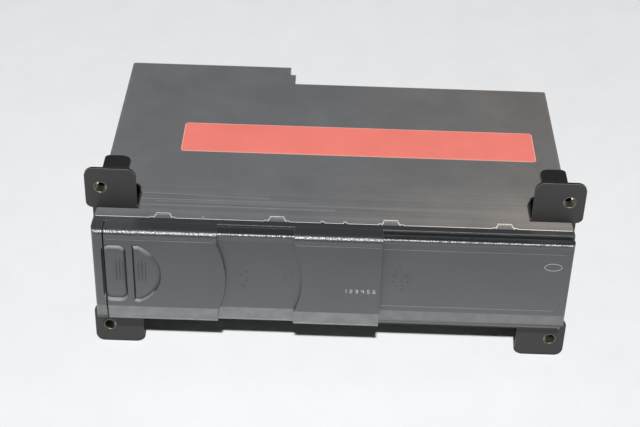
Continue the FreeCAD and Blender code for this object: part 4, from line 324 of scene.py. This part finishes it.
# Painted shade darkens the brackets within 6 mm of corners and gaps; their pale upward edges are partly
# wear, partly a painted highlight.
mat, tree, tint, shader = finish("bracket paint", (0.022, 0.021, 0.0205), 0.4, grain=1100.0, depth=0.00001,
                                 mottle=0.15, edge=0.0004, worn=(0.2, 0.2, 0.2), wear=0.0003, painted_shade_reach=0.006)
flattened = vector_worked(tree, "Vector", "MULTIPLY", place_in(tree), (1.0, 0.0, 1.0))
from_bolt = 1.0
for x in (-bolt_x, bolt_x):
    for z in (case_foot - bolt_past_case, case_top + bolt_past_case):
        from_hole = vector_worked(tree, "Value", "DISTANCE", flattened, (x, 0.0, z))
        from_bolt = worked(tree, "MINIMUM", from_bolt, from_hole)
bare = ranged(tree, from_bolt, 0.00325, 0.00345, 1.0, 0.0)
tree.links.new(mixed(tree, bare, tint, bare_zinc), shader.inputs["Base Color"])
tree.links.new(bare, shader.inputs["Metallic"])
paint(mat, "bracket_left", "bracket_right")


# ---- Bottom tray, screws and rear socket -----------------------------------------------------------------
# The tray is sheet steel in the same paint as the cover, darker. The screws are zinc-plated. The socket is
# black glass-filled nylon soldered to the board, with plated brass contacts.

def metal(name, colour, roughness, stretch):
    """Bare metal with a drawn grain: the fast noise is read at the place times stretch, so it is long where
    stretch is small."""
    mat, tree = finish(name, colour, roughness, metallic=1.0, depth=0.000004, mottle=0.1, edge=0.00015)[:2]
    drawn = add_node(tree, "Mapping", {"Vector": place_in(tree), "Scale": stretch}).outputs["Vector"]
    grain = tree.nodes["grain"]
    tree.links.new(drawn, grain.inputs["Vector"])
    grain.inputs["Scale"].default_value = 1.0
    return mat


def matter(name, colour, roughness, grain, depth, **more):
    """A plain finish with nothing added to it."""
    return finish(name, colour, roughness, grain=grain, depth=depth, **more)[0]


# Its pale upward edges are partly wear and partly a painted highlight.
paint(matter("tray paint", (0.06, 0.061, 0.063), 0.5, 1500.0, 0.000012, worn=(0.4, 0.4, 0.4), wear=0.0004),
      "chassis_tray")
paint(metal("screw zinc", (0.66, 0.64, 0.58), 0.28, (300.0, 300.0, 300.0)), "bracket_screws",
      "cover_screws", "board_screws")
paint(matter("socket nylon", (0.02, 0.02, 0.021), 0.5, 1400.0, 0.00002), "data_connector")
paint(metal("contact plating", (0.83, 0.66, 0.34), 0.22, (500.0, 60.0, 500.0)), "connector_pins")


# ---- Deck, posts and lift drive --------------------------------------------------------------------------
# The floating deck, post bridges and button bracket are plated sheet steel. The posts and rods are ground
# steel. Rubber feet and thin springs carry the deck on the tray.

spring_wire = metal("spring wire", (0.62, 0.62, 0.63), 0.2, (500.0, 500.0, 500.0))
paint(metal("deck steel", (0.56, 0.56, 0.53), 0.4, (60.0, 700.0, 700.0)), "mech_deck", "post_bridges")
paint(metal("lever steel", (0.55, 0.55, 0.54), 0.33, (700.0, 60.0, 700.0)), "button_bracket", "eject_lever")
paint(metal("ground steel", (0.68, 0.68, 0.7), 0.14, (900.0, 900.0, 30.0)), "guide_posts", "lever_post",
      "sled_rods", "traverse_pins")
paint(spring_wire, "suspension_springs", "eject_spring")
paint(metal("motor can", (0.6, 0.61, 0.61), 0.3, (300.0, 300.0, 900.0)), "lift_motor", "sled_motor",
      "spindle_motor")
paint(matter("rubber", (0.018, 0.018, 0.019), 0.78, 700.0, 0.00003), "rubber_dampers")
paint(matter("glide plastic", (0.72, 0.71, 0.66), 0.38, 600.0, 0.000006), "magazine_glides")


def threaded(name, axis, bands):
    """Turned brass with a fine thread: the relief rises and falls as a sine of the place along the axis."""
    mat = metal(name, (0.72, 0.53, 0.22), 0.25, (300.0, 300.0, 300.0))
    tree = mat.node_tree
    wave = add_node(tree, "TexWave", {"Vector": place_in(tree), "Scale": bands}, wave_type="BANDS",
                    bands_direction=axis).outputs["Fac"]
    thread = add_node(tree, "Bump", {"Distance": 0.0002, "Height": wave,
                                     "Normal": tree.nodes["relief"].outputs["Normal"]})
    tree.links.new(thread.outputs["Normal"], tree.nodes["shader"].inputs["Normal"])
    return mat


paint(threaded("lead screw brass", "Z", 320.0), "lift_screw", "board_posts")
paint(threaded("sled screw brass", "X", 500.0), "lead_screw")


# ---- Magazine and trays ----------------------------------------------------------------------------------
# The magazine is moulded in black ABS with a fine grain. The six trays that slide in it are charcoal ABS
# with a smoother face.

paint(matter("magazine plastic", (0.045, 0.045, 0.048), 0.5, 1500.0, 0.00003), "magazine_case")
paint(matter("tray plastic", (0.085, 0.086, 0.092), 0.44, 900.0, 0.00001, mottle=0.1),
      *["tray_%d" % number for number in range(1, 7)])


# ---- Lift and player -------------------------------------------------------------------------------------
# The lift, its rail and the clamp arm are plated steel; the hook is white acetal; the player's chassis,
# sled, turntable and clamper are dark glass-filled plastic, and the lens is a small coated glass bead.

paint(metal("lift steel", (0.58, 0.58, 0.56), 0.38, (700.0, 60.0, 700.0)), "lift_frame", "transfer_rail",
      "clamp_arm")
paint(matter("hook acetal", (0.74, 0.73, 0.69), 0.35, 700.0, 0.000006), "transfer_hook")
paint(matter("chassis plastic", (0.03, 0.03, 0.032), 0.5, 1300.0, 0.00002), "traverse_chassis",
      "sled_carriage")
paint(matter("turntable plastic", (0.05, 0.05, 0.055), 0.4, 1200.0, 0.00001), "turntable", "clamper")
paint(matter("lens glass", (0.18, 0.12, 0.32), 0.05, 300.0, 0.0, mottle=0.05, coat=1.0), "objective_lens")


# ---- Eject button and switch -----------------------------------------------------------------------------
# A black satin push button with a moulded cap, working a small black tact switch through its bracket. Its
# return spring is steel wire wound round the stem, held between the cap and the bracket.

paint(matter("button plastic", (0.05, 0.05, 0.052), 0.36, 1300.0, 0.00001), "eject_button")
paint(matter("switch plastic", (0.025, 0.025, 0.026), 0.45, 1500.0, 0.00001), "eject_switch")


def new_piece(name, verts, faces, mat):
    """An object at the origin from points, faces and one material."""
    mesh = bpy.data.meshes.new(name)
    mesh.from_pydata(np.asarray(verts, float).tolist(), [], faces)
    mesh.materials.append(mat)
    piece = bpy.data.objects.new(name, mesh)
    bpy.context.scene.collection.objects.link(piece)
    return piece


def coil_spring(name, node, wire, turns, mat):
    """A compression spring along Y in a node's box. The centre of its wire runs on the helix
    (r cos t, y(t), r sin t), where y(t) rises by one wire thickness in the first and last turn and evenly
    between. A circle of the wire's radius is swept along it, from one flat end to the other."""
    low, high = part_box(node)
    middle = (low + high) / 2
    radius = (high.x - low.x) / 2 - wire
    steps, sides = 36 * turns, 12
    pitch = 2.1 * wire
    climb = high.y - low.y - pitch
    turn = np.linspace(0.0, turns, steps + 1)
    rise = np.interp(turn, (0.0, 1.0, turns - 1.0, turns), (0.0, pitch, climb - pitch, climb))[:, None]
    angle = 2 * np.pi * turn[:, None]
    around = 2 * np.pi * np.arange(sides)[None, :] / sides
    outward = radius + wire * np.cos(around)
    verts = np.stack([middle.x + outward * np.cos(angle), low.y + pitch / 2 + rise + wire * np.sin(around),
                      middle.z + outward * np.sin(angle)], -1).reshape(-1, 3)
    ring = np.arange(steps)[:, None] * sides
    side = np.arange(sides)[None, :]
    after = (side + 1) % sides
    quads = np.stack([ring + side, ring + after, ring + sides + after, ring + sides + side], -1)
    quads = quads.reshape(-1, 4)
    ends = [tuple(range(sides - 1, -1, -1)), tuple(range(steps * sides, (steps + 1) * sides))]
    piece = new_piece(name, verts, quads.tolist() + ends, mat)
    piece.data.polygons.foreach_set("use_smooth", [True] * len(quads) + [False] * len(ends))
    return piece


spring = coil_spring("eject_coil", "eject_spring", wire=0.0002, turns=5, mat=spring_wire)
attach(spring, "case")
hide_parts("eject_spring")
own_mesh(spring)


# ---- Electronics -----------------------------------------------------------------------------------------
# A green glass-epoxy board on brass posts with black chips, dark blue sleeved capacitors and an aluminium
# heat sink.

mat, tree, tint, shader = finish("board laminate", (0.02, 0.12, 0.05), 0.32, grain=500.0, depth=0.000004,
                                 coat=0.3)
copper = add_node(tree, "TexBrick", {
    "Vector": place_in(tree), "Scale": 90.0, "Mortar Size": 0.03, "Color1": white,
    "Color2": (0.75, 0.75, 0.75, 1.0), "Mortar": (2.4, 2.0, 1.4, 1.0)}).outputs["Color"]
tree.links.new(mixed(tree, 1.0, tint, copper, "MULTIPLY"), shader.inputs["Base Color"])
paint(mat, "main_board")
paint(matter("chip resin", (0.018, 0.018, 0.02), 0.55, 1800.0, 0.00001), "ic_packages")
paint(matter("capacitor sleeve", (0.02, 0.03, 0.11), 0.25, 300.0, 0.000003, coat=0.4), "capacitors")
paint(metal("sink aluminium", (0.75, 0.76, 0.77), 0.35, (60.0, 700.0, 700.0)), "heat_sink")


# ---- Printed marks on the door ---------------------------------------------------------------------------
# A short row of plain numerals printed in pale ink on the raised leaf, and a plain ring at the panel's
# right end. Both are ink films 0.02 mm thick.

def strokes(name, lines, width, y_face, body, mat):
    """Flat ink strokes on a front face: the rectangle of each line from (x0, z0) to (x1, z1) is its ends
    moved out by half the width along it and to both sides, standing one film before the face and one film
    behind it."""
    film = 0.00002
    lines = np.array(lines)
    start, end = lines[:, :2], lines[:, 2:]
    run = (end - start) / np.linalg.norm(end - start, axis=1, keepdims=True)
    tip = run * width / 2
    side = np.stack([-tip[:, 1], tip[:, 0]], 1)
    start, end = start - tip, end + tip
    corners = np.stack([start - side, end - side, end + side, start + side], 1)
    layers = np.stack([corners, corners], 1)
    depth = np.broadcast_to(np.array([y_face - film, y_face + film])[None, :, None], layers.shape[:3])
    verts = np.stack([layers[..., 0], depth, layers[..., 1]], -1).reshape(-1, 3)
    box = np.array([(0, 1, 2, 3), (0, 4, 5, 1), (1, 5, 6, 2), (2, 6, 7, 3), (3, 7, 4, 0)])
    faces = (np.arange(len(lines))[:, None, None] * 8 + box).reshape(-1, 4).tolist()
    piece = new_piece(name, verts, faces, mat)
    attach(piece, body)


ink = matter("pale ink", (0.62, 0.62, 0.6), 0.45, 2500.0, 0.000002, mottle=0.15, edge=0.00001)
# The faces that the ink lies on, as places on the Y axis.
leaf_face, panel_face = -0.0898517, -0.08615

# A numeral is made of up to seven segments. Each is given by its ends, in steps of a numeral's width and
# of a segment's height.
segments = {"a": (0, 2, 1, 2), "b": (1, 2, 1, 1), "c": (1, 1, 1, 0), "d": (0, 0, 1, 0), "e": (0, 1, 0, 0),
            "f": (0, 2, 0, 1), "g": (0, 1, 1, 1)}
numerals = ("bc", "abged", "abgcd", "fgbc", "afgcd", "afgecd")
numeral_left, numeral_foot = 0.0067, 0.0568
numeral_pitch, numeral_width, segment_height = 0.0031, 0.0011, 0.0010
numeral_stroke = 0.00028
lines = []
for place_index, shape in enumerate(numerals):
    left = numeral_left + place_index * numeral_pitch
    for key in shape:
        x0, z0, x1, z1 = segments[key]
        lines.append((left + x0 * numeral_width, numeral_foot + z0 * segment_height,
                      left + x1 * numeral_width, numeral_foot + z1 * segment_height))
strokes("door_numerals", lines, numeral_stroke, leaf_face, "door_inner", ink)

# The ring is 24 straight strokes between points of the ellipse (a cos t, b sin t).
ring_x, ring_z, ring_half_width, ring_half_height = 0.1172, 0.0755, 0.0046, 0.0023
ring_stroke = 0.0003
angles = np.linspace(0.0, 2 * np.pi, 25)
outline = np.stack([ring_x + ring_half_width * np.cos(angles),
                    ring_z + ring_half_height * np.sin(angles)], 1)
strokes("panel_ring", np.hstack([outline[:-1], outline[1:]]), ring_stroke, panel_face, "case", ink)


# ---- Floor, light and camera -----------------------------------------------------------------------------
# A pale table top. The unit stands on its two lower ears and its rear bottom edge, so the table is tilted
# under it.

ear_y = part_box("bracket_left")[0].y
slope = math.atan2(case_foot, cover_high.y - ear_y)
half_table = 2.5
across = half_table * np.array([-1, 1, 1, -1])
run = half_table * np.array([-1, -1, 1, 1])
corners = np.stack([across, ear_y + run * math.cos(slope), run * math.sin(slope)], 1)
laminate = matter("table laminate", (0.86, 0.86, 0.86), 0.55, 300.0, 0.000004, mottle=0.015)
new_piece("table_top", corners, [(0, 1, 2, 3)], laminate)

camera_place = Vector((-0.005041, -0.70217, 0.537911))
pitch, roll, yaw = -0.612, -0.031, 0.004
turn = Matrix.Rotation(yaw, 3, "Z") @ Matrix.Rotation(pitch, 3, "X") @ Matrix.Rotation(roll, 3, "Y")
right, ahead, up = turn.col[0].copy(), turn.col[1].copy(), turn.col[2].copy()
camera_data = bpy.data.cameras.new("camera")
camera_data.sensor_fit = "HORIZONTAL"
camera_data.sensor_width = 36.0
camera_data.lens = 81.571
camera_data.clip_start = 0.01
camera = bpy.data.objects.new("camera", camera_data)
bpy.context.scene.collection.objects.link(camera)
pose = Matrix((right, up, -ahead)).transposed().to_4x4()
pose.translation = camera_place
camera.matrix_world = pose
bpy.context.scene.camera = camera

# The lamp is on the line from the part through a point 195 mm above the camera, 4.5 times as far off.
flash = bpy.data.lights.new("flash", "AREA")
flash.shape = "RECTANGLE"
flash.size = 0.15
flash.size_y = 0.1
flash.energy = 190.0
flash.color = (0.975, 0.99, 1.0)
lamp = bpy.data.objects.new("flash", flash)
bpy.context.scene.collection.objects.link(lamp)
target = Vector((0.0, 0.0, 0.06))
lamp_place = target + (camera_place + up * 0.195 - target) * 4.5
lamp.matrix_world = (target - lamp_place).to_track_quat("-Z", "Y").to_matrix().to_4x4()
lamp.location = lamp_place

# The room gives a little fill light. The camera alone sees it pale.
world = bpy.data.worlds.new("room")
bpy.context.scene.world = world
world.use_nodes = True
tree = world.node_tree
tree.nodes.clear()
dim = add_node(tree, "Background", {"Color": (0.95, 0.97, 1.0, 1.0), "Strength": 0.012})
pale = add_node(tree, "Background", {"Color": (0.9, 0.9, 0.9, 1.0), "Strength": 1.0})
seen = add_node(tree, "LightPath", {}).outputs["Is Camera Ray"]
room = add_node(tree, "MixShader", {"Fac": seen, 1: dim.outputs[0], 2: pale.outputs[0]})
add_node(tree, "OutputWorld", {"Surface": room.outputs[0]})

bpy.context.scene.view_settings.view_transform = "Standard"
bpy.context.scene.view_settings.look = "None"
